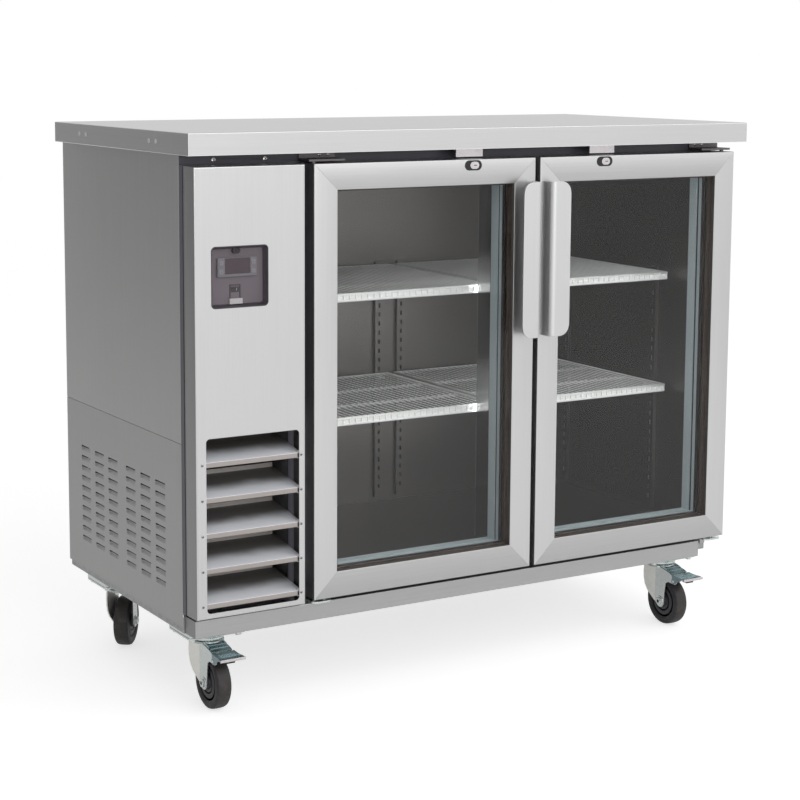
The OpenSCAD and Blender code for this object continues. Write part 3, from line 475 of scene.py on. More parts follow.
def moulded_plastic(name, colour, rough=(0.38, 0.5), scale=1400.0, bumps=0.1, smear=0.1,
                    **sockets):
    """Moulded plastic or smooth paint: a fine texture and slightly uneven gloss."""
    finish, tree, shader = start_finish(name, **sockets)
    toned = place_effect(tree, HANDLED, Colour=colour, Size=14.0, Amount=smear)
    grain = place_effect(tree, TEXTURED, Scale=scale)
    join(tree, (toned.outputs["Colour"], shader.inputs["Base Color"]))
    set_range(tree, grain.outputs["Specks"], shader.inputs["Roughness"], rough[0], rough[1])
    press_bumps(tree, grain.outputs["Height"], shader, bumps, 0.0002)
    return finish


def aluminium_with_painted_shade(name, bright, shaded):
    """Grille blades: bright at the front, and painted shade further in, under the blades above."""
    finish = moulded_plastic(name, bright, rough=(0.3, 0.42), bumps=0.05, Metallic=0.08)
    tree = finish.node_tree
    shader = tree.nodes["Principled BSDF"]
    place = add(tree, "TexCoord")
    parts = add(tree, "SeparateXYZ")
    ragged = add(tree, "TexNoise", Scale=14.0, Detail=2.0)
    edge = add(tree, "Math", operation="MULTIPLY_ADD")
    edge.inputs[1].default_value = 0.03
    # Painted shade: from 58 mm behind the front edge the blade turns to the shaded colour, along a
    # ragged edge.
    unshaded_to, shaded_from = FRONT + 58 * MM, FRONT + 100 * MM
    share = add(tree, "MapRange", interpolation_type="SMOOTHSTEP", From_Min=unshaded_to,
                From_Max=shaded_from)
    mixed = add(tree, "Mix", data_type="RGBA", B=shaded)
    toned = shader.inputs["Base Color"].links[0].from_socket
    join(tree, (place.outputs["Object"], parts.inputs[0]),
         (place.outputs["Object"], ragged.inputs["Vector"]),
         (ragged.outputs[0], edge.inputs[0]), (parts.outputs["Y"], edge.inputs[2]),
         (edge.outputs[0], share.inputs["Value"]), (share.outputs[0], mixed.inputs["Factor"]),
         (toned, mixed.inputs["A"]), (mixed.outputs["Result"], shader.inputs["Base Color"]))
    return finish


def black_rubber(name, colour, worn):
    """Tyre rubber: grey where it has rolled and scuffed, with dust low down."""
    finish, tree, shader = start_finish(name, Specular_IOR_Level=0.4)
    toned = place_effect(tree, HANDLED, Colour=colour, Size=55.0, Amount=0.5)
    grain = place_effect(tree, TEXTURED, Scale=1100.0)
    scuffed = add(tree, "Mix", data_type="RGBA", B=worn)
    dusty = place_effect(tree, DUSTY, Dust=(0.2, 0.19, 0.18, 1), Reach=0.09, Amount=0.22)
    join(tree, (toned.outputs["Colour"], scuffed.inputs["A"]),
         (toned.outputs["Smears"], scuffed.inputs["Factor"]),
         (scuffed.outputs["Result"], dusty.inputs["Colour"]),
         (dusty.outputs["Colour"], shader.inputs["Base Color"]))
    set_range(tree, grain.outputs["Specks"], shader.inputs["Roughness"], 0.42, 0.62)
    press_bumps(tree, grain.outputs["Height"], shader, 0.15, 0.0003)
    return finish


def clear_glass(name, tint, bend):
    """Door glass that lets the lamps' light through to what stands behind it."""
    finish, tree, shader = start_finish(name, Roughness=0.0, IOR=bend, Transmission_Weight=1.0)
    toned = place_effect(tree, HANDLED, Colour=tint, Size=2.0, Amount=0.02)
    path = add(tree, "LightPath")
    clear = add(tree, "BsdfTransparent", Color=(0.93, 0.95, 0.94, 1))
    mixed = add(tree, "MixShader")
    out = tree.nodes["Material Output"]
    join(tree, (toned.outputs["Colour"], shader.inputs["Base Color"]),
         (path.outputs["Is Shadow Ray"], mixed.inputs[0]), (shader.outputs[0], mixed.inputs[1]),
         (clear.outputs[0], mixed.inputs[2]), (mixed.outputs[0], out.inputs["Surface"]))
    return finish


def lit_lens(name, colour, strength):
    """The milky lens of a lamp strip."""
    finish = moulded_plastic(name, colour, rough=(0.3, 0.4), scale=700.0, bumps=0.05)
    shader = finish.node_tree.nodes["Principled BSDF"]
    shader.inputs["Emission Color"].default_value = colour
    shader.inputs["Emission Strength"].default_value = strength
    return finish


def pressed_foam(name, colour):
    """Rigid foam, with a fine open cell."""
    return moulded_plastic(name, colour, rough=(0.8, 0.95), scale=600.0, bumps=0.4, smear=0.2)


COUNTER = brushed_steel("counter steel", 0.68, ALONG_X, rough=(0.24, 0.38))
# Painted shade: darker copies of the counter steel for its top and for its ends, whose grain runs
# along y.
COUNTER_TOP_SHADE = brushed_steel("counter top steel, painted shade", 0.43, ALONG_X, rough=(0.28, 0.42))
COUNTER_END_SHADE = brushed_steel("counter end steel, painted shade", 0.47, ALONG_Y, rough=(0.3, 0.44))
SIDE = brushed_steel("side steel", 0.46, ALONG_Z, rough=(0.34, 0.5), tint=0.003)
PANEL = brushed_steel("panel steel", 0.69, ALONG_Z, rough=(0.26, 0.4))
# Painted shade: a darker copy of the panel steel for the panel's left-facing faces.
PANEL_FOLD_SHADE = brushed_steel("panel fold steel, painted shade", 0.32, ALONG_Z, rough=(0.34, 0.46))
STILE = brushed_steel("door stile steel", 0.69, ALONG_Z, rough=(0.24, 0.36))
# Painted shade: the door rails take a darker copy of the stile steel; their grain runs along x.
RAIL = brushed_steel("door rail steel, painted shade", 0.56, ALONG_X, rough=(0.28, 0.42))
HANDLE = brushed_steel("handle steel", 0.68, ALONG_Z, rough=(0.38, 0.48), smear=0.08)
BASE = brushed_steel("base rail steel", 0.48, ALONG_X, rough=(0.34, 0.48))
# Painted shade: a darker copy of the base rail steel for the rail's left end.
RAIL_END_SHADE = brushed_steel("rail end steel, painted shade", 0.30, ALONG_Y, rough=(0.34, 0.48))
LOUVRED = brushed_steel("louvred steel", 0.42, ALONG_Z, rough=(0.34, 0.5), tint=0.003)
BLADE = aluminium_with_painted_shade("blade aluminium", (0.93, 0.95, 1.0, 1), (0.20, 0.185, 0.18, 1))
# Painted shade: a dark copy of the blade aluminium for the blades' downward faces.
BLADE_UNDER_SHADE = moulded_plastic("blade underside painted shade", (0.10, 0.10, 0.10, 1), rough=(0.4, 0.5),
                              bumps=0.05)
# Painted light: a pale copy of the blade aluminium for the rear lips, which stand in shade.
BLADE_REAR_LIT = moulded_plastic("blade rear lip painted light", (0.85, 0.80, 0.76, 1), rough=(0.4, 0.5), bumps=0.05)
# Painted shade: a darker copy of the blade aluminium for the blades' front faces.
BLADE_FRONT_SHADE = moulded_plastic("blade front painted shade", (0.46, 0.42, 0.40, 1), rough=(0.34, 0.46),
                            bumps=0.05, Metallic=0.3)
# Painted shade: the liner and pilaster steel is kept very dark and warm, the shade inside the
# cabinet.
LINER_SHADE = brushed_steel("liner steel, painted shade", 0.13, ALONG_Z, rough=(0.25, 0.4), tint=0.05)
COIL_COVER = moulded_plastic("coil cover paint", (0.20, 0.19, 0.18, 1), rough=(0.4, 0.55))
POST = brushed_steel("mullion steel", 0.72, ALONG_Z, rough=(0.1, 0.2))
GALVANISED = galvanised_sheet("galvanised sheet", 0.42)
ZINC = zinc_plate("bright zinc", 0.74)
# Painted shade: a dark copy of the zinc for the upper hinge brackets under the counter.
SHADED_ZINC = zinc_plate("shaded zinc", 0.17, tint=(1.04, 0.97, 1.0), rough=(0.4, 0.55))
DARK_ZINC = zinc_plate("blue zinc", 0.30, tint=(0.74, 1.04, 1.12))
KEEPER = zinc_plate("keeper zinc", 0.72, tint=(1.03, 0.98, 1.0))
SCREW = zinc_plate("screw zinc", 0.6, tint=(1.06, 0.97, 0.98))
BLADE_SCREW = zinc_plate("blade screw zinc", 0.34, tint=(0.98, 0.98, 1.06))
# Painted light: a paler, warmer copy of the fork zinc for the flared heels.
LIT_ZINC = zinc_plate("lit zinc", 0.86, tint=(1.0, 0.99, 0.94), rough=(0.36, 0.5))
# Dark paint for the face frame, and the same dark as painted shade in the gap by the bay panel.
FRAME_DARK = moulded_plastic("dark frame paint and gap shade", (0.085, 0.083, 0.105, 1), rough=(0.3, 0.42))
# Black for real black plastic, and for painted shade in the screw crosses, the key slots and the
# finger notch.
BLACK_AND_SHADE = moulded_plastic("black plastic and painted shade", (0.012, 0.012, 0.013, 1), rough=(0.5, 0.65))
PAD = black_rubber("caster pad rubber", (0.016, 0.015, 0.015, 1), (0.04, 0.04, 0.04, 1))
BEZEL = moulded_plastic("bezel plastic", (0.055, 0.048, 0.060, 1), rough=(0.35, 0.5))
BEZEL_FLOOR = moulded_plastic("bezel floor plastic", (0.22, 0.19, 0.215, 1), rough=(0.35, 0.5))
CONTROL = moulded_plastic("controller plastic", (0.26, 0.255, 0.275, 1), rough=(0.35, 0.5))
DISPLAY = moulded_plastic("display window", (0.10, 0.075, 0.09, 1), rough=(0.08, 0.14), bumps=0.01)
KEYCAP = moulded_plastic("key plastic", (0.36, 0.35, 0.38, 1), rough=(0.4, 0.5))
LABEL = moulded_plastic("blank label plate", (0.80, 0.78, 0.78, 1), rough=(0.4, 0.5))
ROCKER = moulded_plastic("rocker plastic", (0.06, 0.055, 0.06, 1), rough=(0.3, 0.4))
ROCKER_MARK = moulded_plastic("rocker mark", (0.42, 0.42, 0.44, 1), rough=(0.4, 0.5))
SMOKED = moulded_plastic("smoked cover", (0.16, 0.13, 0.15, 1), rough=(0.12, 0.2), bumps=0.02,
                         Alpha=0.10)
COATED_WIRE = moulded_plastic("white wire coating", (0.86, 0.86, 0.85, 1), rough=(0.3, 0.42))
WHITE_PLASTIC = moulded_plastic("white plastic", (0.78, 0.78, 0.78, 1), rough=(0.35, 0.48))
TRIM = moulded_plastic("blue-grey trim", (0.54, 0.62, 0.65, 1), rough=(0.35, 0.48))
SEAL = moulded_plastic("gasket vinyl", (0.30, 0.335, 0.35, 1), rough=(0.5, 0.62), bumps=0.15)
BEAD = moulded_plastic("glazing bead", (0.055, 0.046, 0.042, 1), rough=(0.4, 0.55))
SPACER = moulded_plastic("bronze spacer", (0.085, 0.066, 0.056, 1), rough=(0.4, 0.52))
GLASS = clear_glass("door glass", (0.985, 0.985, 0.985, 1), 1.2)
LENS = lit_lens("lamp lens", (0.95, 0.98, 1.0, 1), 8.0)
FIN = brushed_steel("coil fins", 0.30, ALONG_Z, rough=(0.4, 0.6))
SHROUD = moulded_plastic("shroud paint", (0.035, 0.035, 0.036, 1), rough=(0.45, 0.6))
FAN = moulded_plastic("fan plastic", (0.02, 0.02, 0.021, 1), rough=(0.4, 0.55))
COMPRESSOR = moulded_plastic("compressor paint", (0.02, 0.02, 0.022, 1), rough=(0.25, 0.38),
                             Coat_Weight=0.3)
COPPER = zinc_plate("copper tube", 0.6, tint=(1.25, 0.66, 0.42), rough=(0.25, 0.45))
BOX = moulded_plastic("wiring box plastic", (0.16, 0.16, 0.165, 1), rough=(0.45, 0.6))
FOAM = pressed_foam("insulation foam", (0.70, 0.58, 0.34, 1))
TYRE = black_rubber("tyre rubber", (0.030, 0.029, 0.034, 1), (0.046, 0.044, 0.048, 1))
TREAD = black_rubber("worn tread rubber", (0.045, 0.040, 0.039, 1), (0.075, 0.064, 0.058, 1))
HUB = moulded_plastic("hub plastic", (0.05, 0.05, 0.056, 1), rough=(0.35, 0.5))
BRAKE_PAD = black_rubber("brake pad rubber", (0.02, 0.018, 0.03, 1), (0.05, 0.05, 0.06, 1))

# ------------------------------------------------ parts that show as they are


def dress(node, finish, edge=0.0):
    """Gives a node its finish and, if wanted, slightly rounded edges."""
    thing = NODES[node]
    for place in thing.material_slots:
        place.material = finish
    if edge:
        weld = thing.modifiers.new("joined corners", "WELD")
        weld.merge_threshold = 0.00001
        soften(thing, edge)


for plain_part in (
        ("face_frame", FRAME_DARK, 0.5), ("mullion_post", POST, 0.6),
        ("breaker_strips", TRIM, 0.6), ("insulation", FOAM), ("liner", LINER_SHADE),
        ("shelf_clips", WHITE_PLASTIC, 0.5), ("pilasters", LINER_SHADE, 0.3),
        ("evaporator_coil", FIN), ("condenser_coil", FIN), ("fan_shroud", SHROUD, 0.4),
        ("condenser_fan", FAN), ("evaporator_fan", FAN), ("compressor", COMPRESSOR),
        ("refrigerant_lines", COPPER), ("electrical_box", BOX, 0.6),
        ("condensate_pan", BOX, 0.6), ("lock_strikes", KEEPER, 0.3)):
    dress(*plain_part)

# ------------------------------------------------------------------- counter

(_, _, COUNTER_Z), (WIDTH, DEPTH, TOP) = span("countertop")
SHEET = 1.2


def counter():
    """The folded counter, with a hem turned in underneath."""
    stock = Stock()
    stock.block((0, 0, COUNTER_Z), (WIDTH, DEPTH, TOP))
    under = min(stock.mesh.faces, key=lambda f: f.calc_center_median().z)
    hem = 90 * MM
    bmesh.ops.inset_individual(stock.mesh, faces=[under], thickness=hem, depth=-SHEET * MM)
    # Painted shade: the top faces and the end faces take the darker copies of the steel.
    stock.tag((0, 0, 1), 1)
    stock.tag((-1, 0, 0), 2)
    stock.tag((1, 0, 0), 2)
    shell = stock.piece("counter_shell", "cabinet", [COUNTER, COUNTER_TOP_SHADE, COUNTER_END_SHADE],
                        1.6, ["countertop"])
    shell.modifiers[0].segments = 3


RIVET_YS, RIVET_UP = (133, 163, 458, 490), 20
DOME = [(4, 0), (3.8, 0.45), (3, 0.85), (1.7, 1.12), (0.3, 1.2)]


def counter_rivets():
    """Domed rivets on both ends of the counter."""
    stock = Stock()
    for y in RIVET_YS:
        stock.turned(DOME, at(0, y, COUNTER_Z + RIVET_UP), (-1, 0, 0), steps=24)
        stock.turned(DOME, at(WIDTH, y, COUNTER_Z + RIVET_UP), (1, 0, 0), steps=24)
    stock.piece("counter_rivets", "cabinet", COUNTER, 0)


counter()
counter_rivets()

# --------------------------------------------------------------- side panels

FLANGE = 14
(BODY_L, PANEL_Y, SEAM_Z), (_, BACK_Y, PANEL_TOP) = span("side_panel_upper_left")
(_, _, PANEL_LOW), (_, _, SEAM_LOW) = span("side_panel_louvred_left")
BODY_R = span("side_panel_right")[1][0]


def folded_sheet(stock, x, inwards, z0, z1, y1=BACK_Y):
    """An upright sheet whose front edge is folded inwards with a small bend."""
    r = 2.4
    centre_x = x + inwards * r
    bend = arc(0, 0, r, 180, 270, 5)
    outer = [(x, y1)] + [(centre_x + inwards * u, PANEL_Y + r + v) for u, v in bend]
    outer.append((x + inwards * FLANGE, PANEL_Y))
    tight = arc(0, 0, r - SHEET, 270, 180, 5)
    inner = [(x + inwards * FLANGE, PANEL_Y + SHEET)]
    inner += [(centre_x + inwards * u, PANEL_Y + r + v) for u, v in tight]
    inner.append((x + inwards * SHEET, y1))
    stock.prism([at(px, py, z0) for px, py in outer + inner], Vector((0, 0, (z1 - z0) * MM)))


def plain_sides():
    """The upper left sheet and the right-hand sheet."""
    stock = Stock()
    folded_sheet(stock, BODY_L, 1, SEAM_Z, PANEL_TOP)
    stock.piece("side_sheet_upper_left", "cabinet", SIDE, 0.35,
                ["side_panel_upper_left"])
    stock = Stock()
    folded_sheet(stock, BODY_R, -1, PANEL_LOW, PANEL_TOP)
    stock.piece("side_sheet_right", "cabinet", SIDE, 0.35, ["side_panel_right"])


LOUVRE_YS = (501, 432, 365, 279, 211, 144)
LOUVRE_W, LOUVRE_H = 45, 10
LOUVRE_TOP, LOUVRE_PITCH, LOUVRE_ROWS = 417, 20.4, 10


def louvre(stock, place, start, edge, size):
    """A pressed scoop that sinks in from one long edge: size gives its width, run and depth."""
    wide, run, deep = size
    rows = []
    for step in range(6):
        t = step / 5
        row = []
        for across in range(13):
            s = across / 12
            cheek = min(1.0, 5.5 * min(s, 1 - s)) ** 0.5
            sunk = 0.1 + deep * math.sin(t * math.pi / 2) * cheek
            row.append(place(start + s * wide, edge + t * run, sunk))
        rows.append(row)
    stock.slab(rows, place(0, -math.copysign(0.7, run), 0.6) - place(0, 0, 0))


def louvred_side():
    """The lower left sheet, with its block of pressed louvres."""
    stock = Stock()
    fold_end = PANEL_Y + 20
    folded_sheet(stock, BODY_L, 1, PANEL_LOW, SEAM_LOW, fold_end)
    tops = [LOUVRE_TOP - i * LOUVRE_PITCH for i in range(LOUVRE_ROWS)]
    holes = [rounded(y, top - LOUVRE_H, y + LOUVRE_W, top, 2.5, 3)
             for y in LOUVRE_YS for top in tops]
    sheet = [(fold_end, PANEL_LOW), (BACK_Y, PANEL_LOW), (BACK_Y, SEAM_LOW), (fold_end, SEAM_LOW)]
    stock.plate(sheet, holes, facing_side(BODY_L), Vector((SHEET * MM, 0, 0)))
    for y in LOUVRE_YS:
        for top in tops:
            louvre(stock, lambda u, v, sunk: at(BODY_L + sunk, u, v), y, top - LOUVRE_H,
                   (LOUVRE_W, 6.6, 3.2))
    stock.piece("side_sheet_louvred", "cabinet", LOUVRED, 0.25,
                ["side_panel_louvred_left"])


plain_sides()
louvred_side()


SLOT_W, SLOT_H, SLOT_PITCH, SLOT_ROWS = 80, 6, 20, 9
SLOT_XS, SLOT_ZS = (40, 140), (330, 620)
PAN_HEAD = [(3.4, -0.8), (3.2, -0.2), (2.4, 0.0), (0.3, 0.0)]


def back():
    """The galvanised back, with two blocks of hooded slots and the inlet's cut-out."""
    low, high = span("back_panel")
    stock = Stock()
    places = [(x, z + i * SLOT_PITCH) for i in range(SLOT_ROWS) for x in SLOT_XS for z in SLOT_ZS]
    slots = [rounded(x, z, x + SLOT_W, z + SLOT_H, 2.9, 4) for x, z in places]
    for x, z in places:
        louvre(stock, lambda u, v, sunk: at(u, low[1] + SHEET - sunk, v), x, z + SLOT_H,
               (SLOT_W, -4.6, 4.5))
    inlet_z = span("electrical_box")[0][2]
    inlet = rounded(150, inlet_z - 0.5, 198, inlet_z + 29.5, 2, 3)
    sheet = [(low[0], low[2]), (high[0], low[2]), (high[0], high[2]), (low[0], high[2])]
    stock.plate(sheet, slots + [inlet], facing_front(low[1]), Vector((0, SHEET * MM, 0)))
    for x in (60, 330, 620, 910, 1190):
        for z in (low[2] + 14, high[2] - 14):
            stock.turned(PAN_HEAD, at(x, high[1], z), (0, 1, 0), 1, 20)
    stock.piece("back_sheet", "cabinet", [GALVANISED, SCREW], 0.3, ["back_panel"])


back()

# -------------------------------------------------------- base, floor and deck

RAIL_X0, RAIL_X1, RAIL_Y, RAIL_Z, RAIL_TOP = 21, 1175, 32, 155, 188
CHANNEL_W, CHANNEL_TOP, PAN_TOP, DECK_Z = 145, 167, 169, 1014.5
BAY_WALL_X = 238


def front_rail():
    """The polished box rail under the doors."""
    stock = Stock()
    stock.block((RAIL_X0, RAIL_Y, RAIL_Z), (RAIL_X1, PANEL_Y, RAIL_TOP))
    # Painted shade: the rail's left end takes the darker copy of the steel.
    stock.tag((-1, 0, 0), 1)
    stock.piece("front_rail", "cabinet", [BASE, RAIL_END_SHADE], 1.6, ["chassis"])


def base_tray():
    """The floor pan, the channels that take the casters, the back rail and the top deck."""
    stock = Stock()
    end, rear = BACK_Y - 3, BACK_Y - SHEET
    stock.block((BODY_L + SHEET, PANEL_Y + SHEET, CHANNEL_TOP), (BODY_R - SHEET, rear, PAN_TOP))
    for x in (BODY_L + 3, BODY_R - 3 - CHANNEL_W):
        web_l, web_r = x + 2, x + CHANNEL_W - 2
        stock.block((x, PANEL_Y, RAIL_Z), (web_l, end, CHANNEL_TOP))
        stock.block((web_r, PANEL_Y, RAIL_Z), (x + CHANNEL_W, end, CHANNEL_TOP))
        stock.block((web_l, PANEL_Y, RAIL_Z), (web_r, end, RAIL_Z + 2))
        stock.block((web_l, PANEL_Y, RAIL_Z + 2), (web_r, PANEL_Y + 2, CHANNEL_TOP))
    rail_l, rail_r, rail_y = 156, BODY_R - 140, BACK_Y - 40
    stock.block((rail_l, rail_y, RAIL_Z), (rail_r, rail_y + 2, CHANNEL_TOP))
    stock.block((rail_l, BACK_Y - 5, RAIL_Z), (rail_r, end, CHANNEL_TOP))
    stock.block((rail_l, rail_y + 2, CHANNEL_TOP - 2), (rail_r, BACK_Y - 5, CHANNEL_TOP))
    stock.block((BODY_L + FLANGE, PANEL_Y, DECK_Z), (BODY_R - FLANGE, rear, COUNTER_Z))
    stock.block((BAY_WALL_X, 79, PAN_TOP), (BAY_WALL_X + SHEET, rear, DECK_Z))
    stock.piece("base_tray", "cabinet", GALVANISED, 0.5)


front_rail()
base_tray()

# ---------------------------------------------------------- compressor bay front

(PANEL_X, FACE_Y, PANEL_Z0), (PANEL_X1, PANEL_BACK, DOOR_TOP) = span("front_panel")
BEZEL_LOW, BEZEL_HIGH = span("control_bezel")
GRILLE = (PANEL_X + 20, PANEL_Z0 + 10, PANEL_X + 205, PANEL_Z0 + 326)
GRILLE_R, BEZEL_R = 7, 8
SCREW_XS = (PANEL_X + 12, PANEL_X1 - 9)
BLADE_PITCH, BLADE_COUNT = 64, 5
BLADE_ZS = [GRILLE[1] + 13 + BLADE_PITCH * i for i in range(BLADE_COUNT)]


def bent_edge(r, back):
    """Section of a sheet that is bent back along its edge, with a round outer corner."""
    outer = [(r + u, FACE_Y + r + v) for u, v in arc(0, 0, r, 270, 180, 5)]
    inner = [(r + u, FACE_Y + r + v) for u, v in arc(0, 0, r - SHEET, 180, 270, 4)]
    return outer + [(0, back), (SHEET, back)] + inner


def front_panel():
    """The panel in front of the compressor, open at the grille and the controls."""
    r = 2.6
    stock = Stock()
    stock.ring((PANEL_X, PANEL_Z0), (PANEL_X1, DOOR_TOP), bent_edge(r, PANEL_BACK - 8))
    flat = [(PANEL_X + r, PANEL_Z0 + r), (PANEL_X1 - r, PANEL_Z0 + r),
            (PANEL_X1 - r, DOOR_TOP - r), (PANEL_X + r, DOOR_TOP - r)]
    holes = [rounded(*GRILLE, GRILLE_R, 6),
             rounded(BEZEL_LOW[0], BEZEL_LOW[2], BEZEL_HIGH[0], BEZEL_HIGH[2], BEZEL_R, 6)]
    stock.plate(flat, holes, facing_front(FACE_Y), Vector((0, SHEET * MM, 0)))
    # Painted shade: the left-facing faces of the fold take the darker copy of the steel.
    stock.tag((-1, 0, 0), 1)
    stock.piece("bay_panel", "cabinet", [PANEL, PANEL_FOLD_SHADE], 0.25,
                ["front_panel"])


def air_blades():
    """Five folded blades: a front lip, a plate that rises inwards and a lip turned up."""
    x0, x1 = PANEL_X + 14, PANEL_X1 - 8
    y0, depth, rise, t, lip = FACE_Y + 1.4, 106, 18, SHEET, 4.6
    stock = Stock()
    for z in BLADE_ZS:
        nose = [(y0 + 1.2 + u, z + lip - 1.2 + v) for u, v in arc(0, 0, 1.2, 180, 100, 3)]
        section = [(y0, z - lip), (y0 + t, z - lip), (y0 + t, z + lip - 2 * t),
                   (y0 + depth, z + lip + rise - t), (y0 + depth, z + lip + rise)]
        section += nose[::-1]
        stock.prism([at(x0, y, h) for y, h in section], Vector(((x1 - x0) * MM, 0, 0)))
        for x in SCREW_XS:
            stock.block((x - 7, y0, z - 6), (x + 7, y0 + t, z + 8))
    # Painted shade: the front faces take a darker copy of the aluminium.
    stock.tag((0, -1, 0), 1)
    # Painted shade: the downward faces take a dark copy of the aluminium.
    stock.tag((0, 0, -1), 2)
    # Painted light: the turned-up rear lips take a pale copy of the aluminium.
    for z in BLADE_ZS:
        turned_up = z + lip + rise
        stock.block((x0, y0 + depth, turned_up - t), (x1 - 4, y0 + depth + t, turned_up + 8), 3)
    stock.piece("air_blades", "cabinet", [BLADE, BLADE_FRONT_SHADE, BLADE_UNDER_SHADE, BLADE_REAR_LIT],
                0.3, ["grille_blades"])


def cross_screw(stock, centre, outwards, r):
    """A domed screw head with its sunk cross drawn as black bars: painted shade."""
    outwards = Vector(outwards)
    across = outwards.orthogonal().normalized()
    other = outwards.cross(across)
    dome = [(r, 0), (r * 0.96, 0.5), (r * 0.72, 1.0), (r * 0.35, 1.25), (0.1, 1.3)]
    stock.turned(dome, centre, outwards, steps=20)
    for a, b in ((across, other), (other, across)):
        corners = [centre + (outwards * 0.9 + a * i * r * 0.6 + b * j * r * 0.13) * MM
                   for i, j in ((-1, -1), (1, -1), (1, 1), (-1, 1))]
        stock.prism(corners, outwards * 0.44 * MM, 1)


def front_screws():
    """Small screws that hold the blades, two in the header and one low in the side's fold."""
    stock = Stock()
    for x in SCREW_XS:
        for z in BLADE_ZS:
            cross_screw(stock, at(x, FACE_Y, z + 1), (0, -1, 0), 2.8)
    stock.piece("blade_screws", "cabinet", [BLADE_SCREW, BLACK_AND_SHADE], 0.1,
                ["screws_and_rivets"])
    stock = Stock()
    header_xs, header_z, fold_z = (84, 186), COUNTER_Z - 12, 187
    for x in header_xs:
        cross_screw(stock, at(x, PANEL_Y, header_z), (0, -1, 0), 4.4)
    cross_screw(stock, at(BODY_L + 3.6, PANEL_Y, fold_z), (0, -1, 0), 3.2)
    stock.piece("header_screws", "cabinet", [SCREW, BLACK_AND_SHADE], 0.1)


def panel_gap_shade():
    """A dark strip between the side sheet's fold and the bay panel: painted shade of the gap."""
    stock = Stock()
    left, right, rear = BODY_L + 0.7, BODY_L + FLANGE + 1, PANEL_Y - 0.1
    stock.block((left, PANEL_BACK - 7.6, PANEL_Z0), (right, rear, DOOR_TOP))
    stock.block((left, PANEL_Y - 1.3, DOOR_TOP + 0.3), (right, rear, COUNTER_Z - 0.4))
    stock.piece("panel_gap_shade", "cabinet", FRAME_DARK, 0.4)


front_panel()
air_blades()
front_screws()
panel_gap_shade()

# ------------------------------------------------------------------- controls

CONTROL_LOW, CONTROL_HIGH = span("controller")
TRAY_Y, CONTROL_X = 30.0, 102


def dish(stock, low, high, r, steps, kind=0):
    """A tray with round corners: each step gives (inset, depth y), from back to floor."""
    loops = []
    for inset, y in steps:
        outline = rounded(low[0] + inset, low[2] + inset, high[0] - inset, high[2] - inset,
                          max(r - inset, 1.0), 6)
        loops.append([at(u, y, v) for u, v in outline])
    stock.skin(loops, kind)


def control_tray():
    """The sunken tray round the controls, its floor with a blank label, and a finger notch."""
    stock = Stock()
    rim = [(0.1, 33), (0.1, 17.0), (0.5, 16.65), (1.6, 16.65), (2.1, 17.2), (5.0, TRAY_Y)]
    dish(stock, BEZEL_LOW, BEZEL_HIGH, BEZEL_R, rim)
    stock.piece("control_tray", "cabinet", BEZEL, 0.25, ["control_bezel"])
    stock = Stock()
    margin = 5.4
    low = [BEZEL_LOW[0] + margin, 0, BEZEL_LOW[2] + margin]
    high = [BEZEL_HIGH[0] - margin, 0, BEZEL_HIGH[2] - margin]
    dish(stock, low, high, 3, [(0, TRAY_Y + 0.4), (0, TRAY_Y - 0.5), (0.4, TRAY_Y - 0.8)])
    stock.block((90, TRAY_Y - 5.0, 753.8), (115, TRAY_Y - 0.7, 763.4), 1)
    stock.piece("tray_floor", "cabinet", [BEZEL_FLOOR, LABEL], 0.15)
    stock = Stock()
    # The finger notch is a black block: painted shade of the recess.
    finger = stadium(CONTROL_X, BEZEL_HIGH[2] - 8.5, 15, 11, 8)
    stock.prism([at(u, 22.0, v) for u, v in finger], Vector((0, 6 * MM, 0)))
    stock.piece("finger_notch", "cabinet", BLACK_AND_SHADE, 0.4)


def controller():
    """The controller's face with its display window."""
    (x0, y0, z0), (x1, _, z1) = CONTROL_LOW, CONTROL_HIGH
    stock = Stock()
    face = [(0, TRAY_Y + 1), (0, y0 + 0.9), (0.7, y0 + 0.1), (1.3, y0)]
    dish(stock, (x0, 0, z0), (x1, 0, z1), 3, face)
    window = (80, z0 + 5, 130, z1 - 1)
    stock.prism([at(u, y0 - 0.25, v) for u, v in rounded(*window, 1.5, 4)],
                Vector((0, 0.6 * MM, 0)), 1)
    stock.piece("controller_face", "cabinet", [CONTROL, DISPLAY], 0.15,
                ["controller"])


def keys():
    """Four key caps beside the display."""
    for number in range(1, 5):
        node = f"controller_key_{number}"
        low, high = span(node)
        stock = Stock()
        dish(stock, low, high, 2, [(0, high[1]), (0, low[1] + 0.6), (0.7, low[1] + 0.05)])
        mid_x, mid_z = (low[0] + high[0]) / 2, (low[2] + high[2]) / 2
        stock.turned([(1.5, -0.05), (1.2, -0.15), (0.1, -0.2)], at(mid_x, low[1] + 0.1, mid_z),
                     (0, 1, 0), 1, 16)
        stock.piece(f"key_cap_{number}", f"key_{number}", [KEYCAP, CONTROL], 0.15,
                    [node])


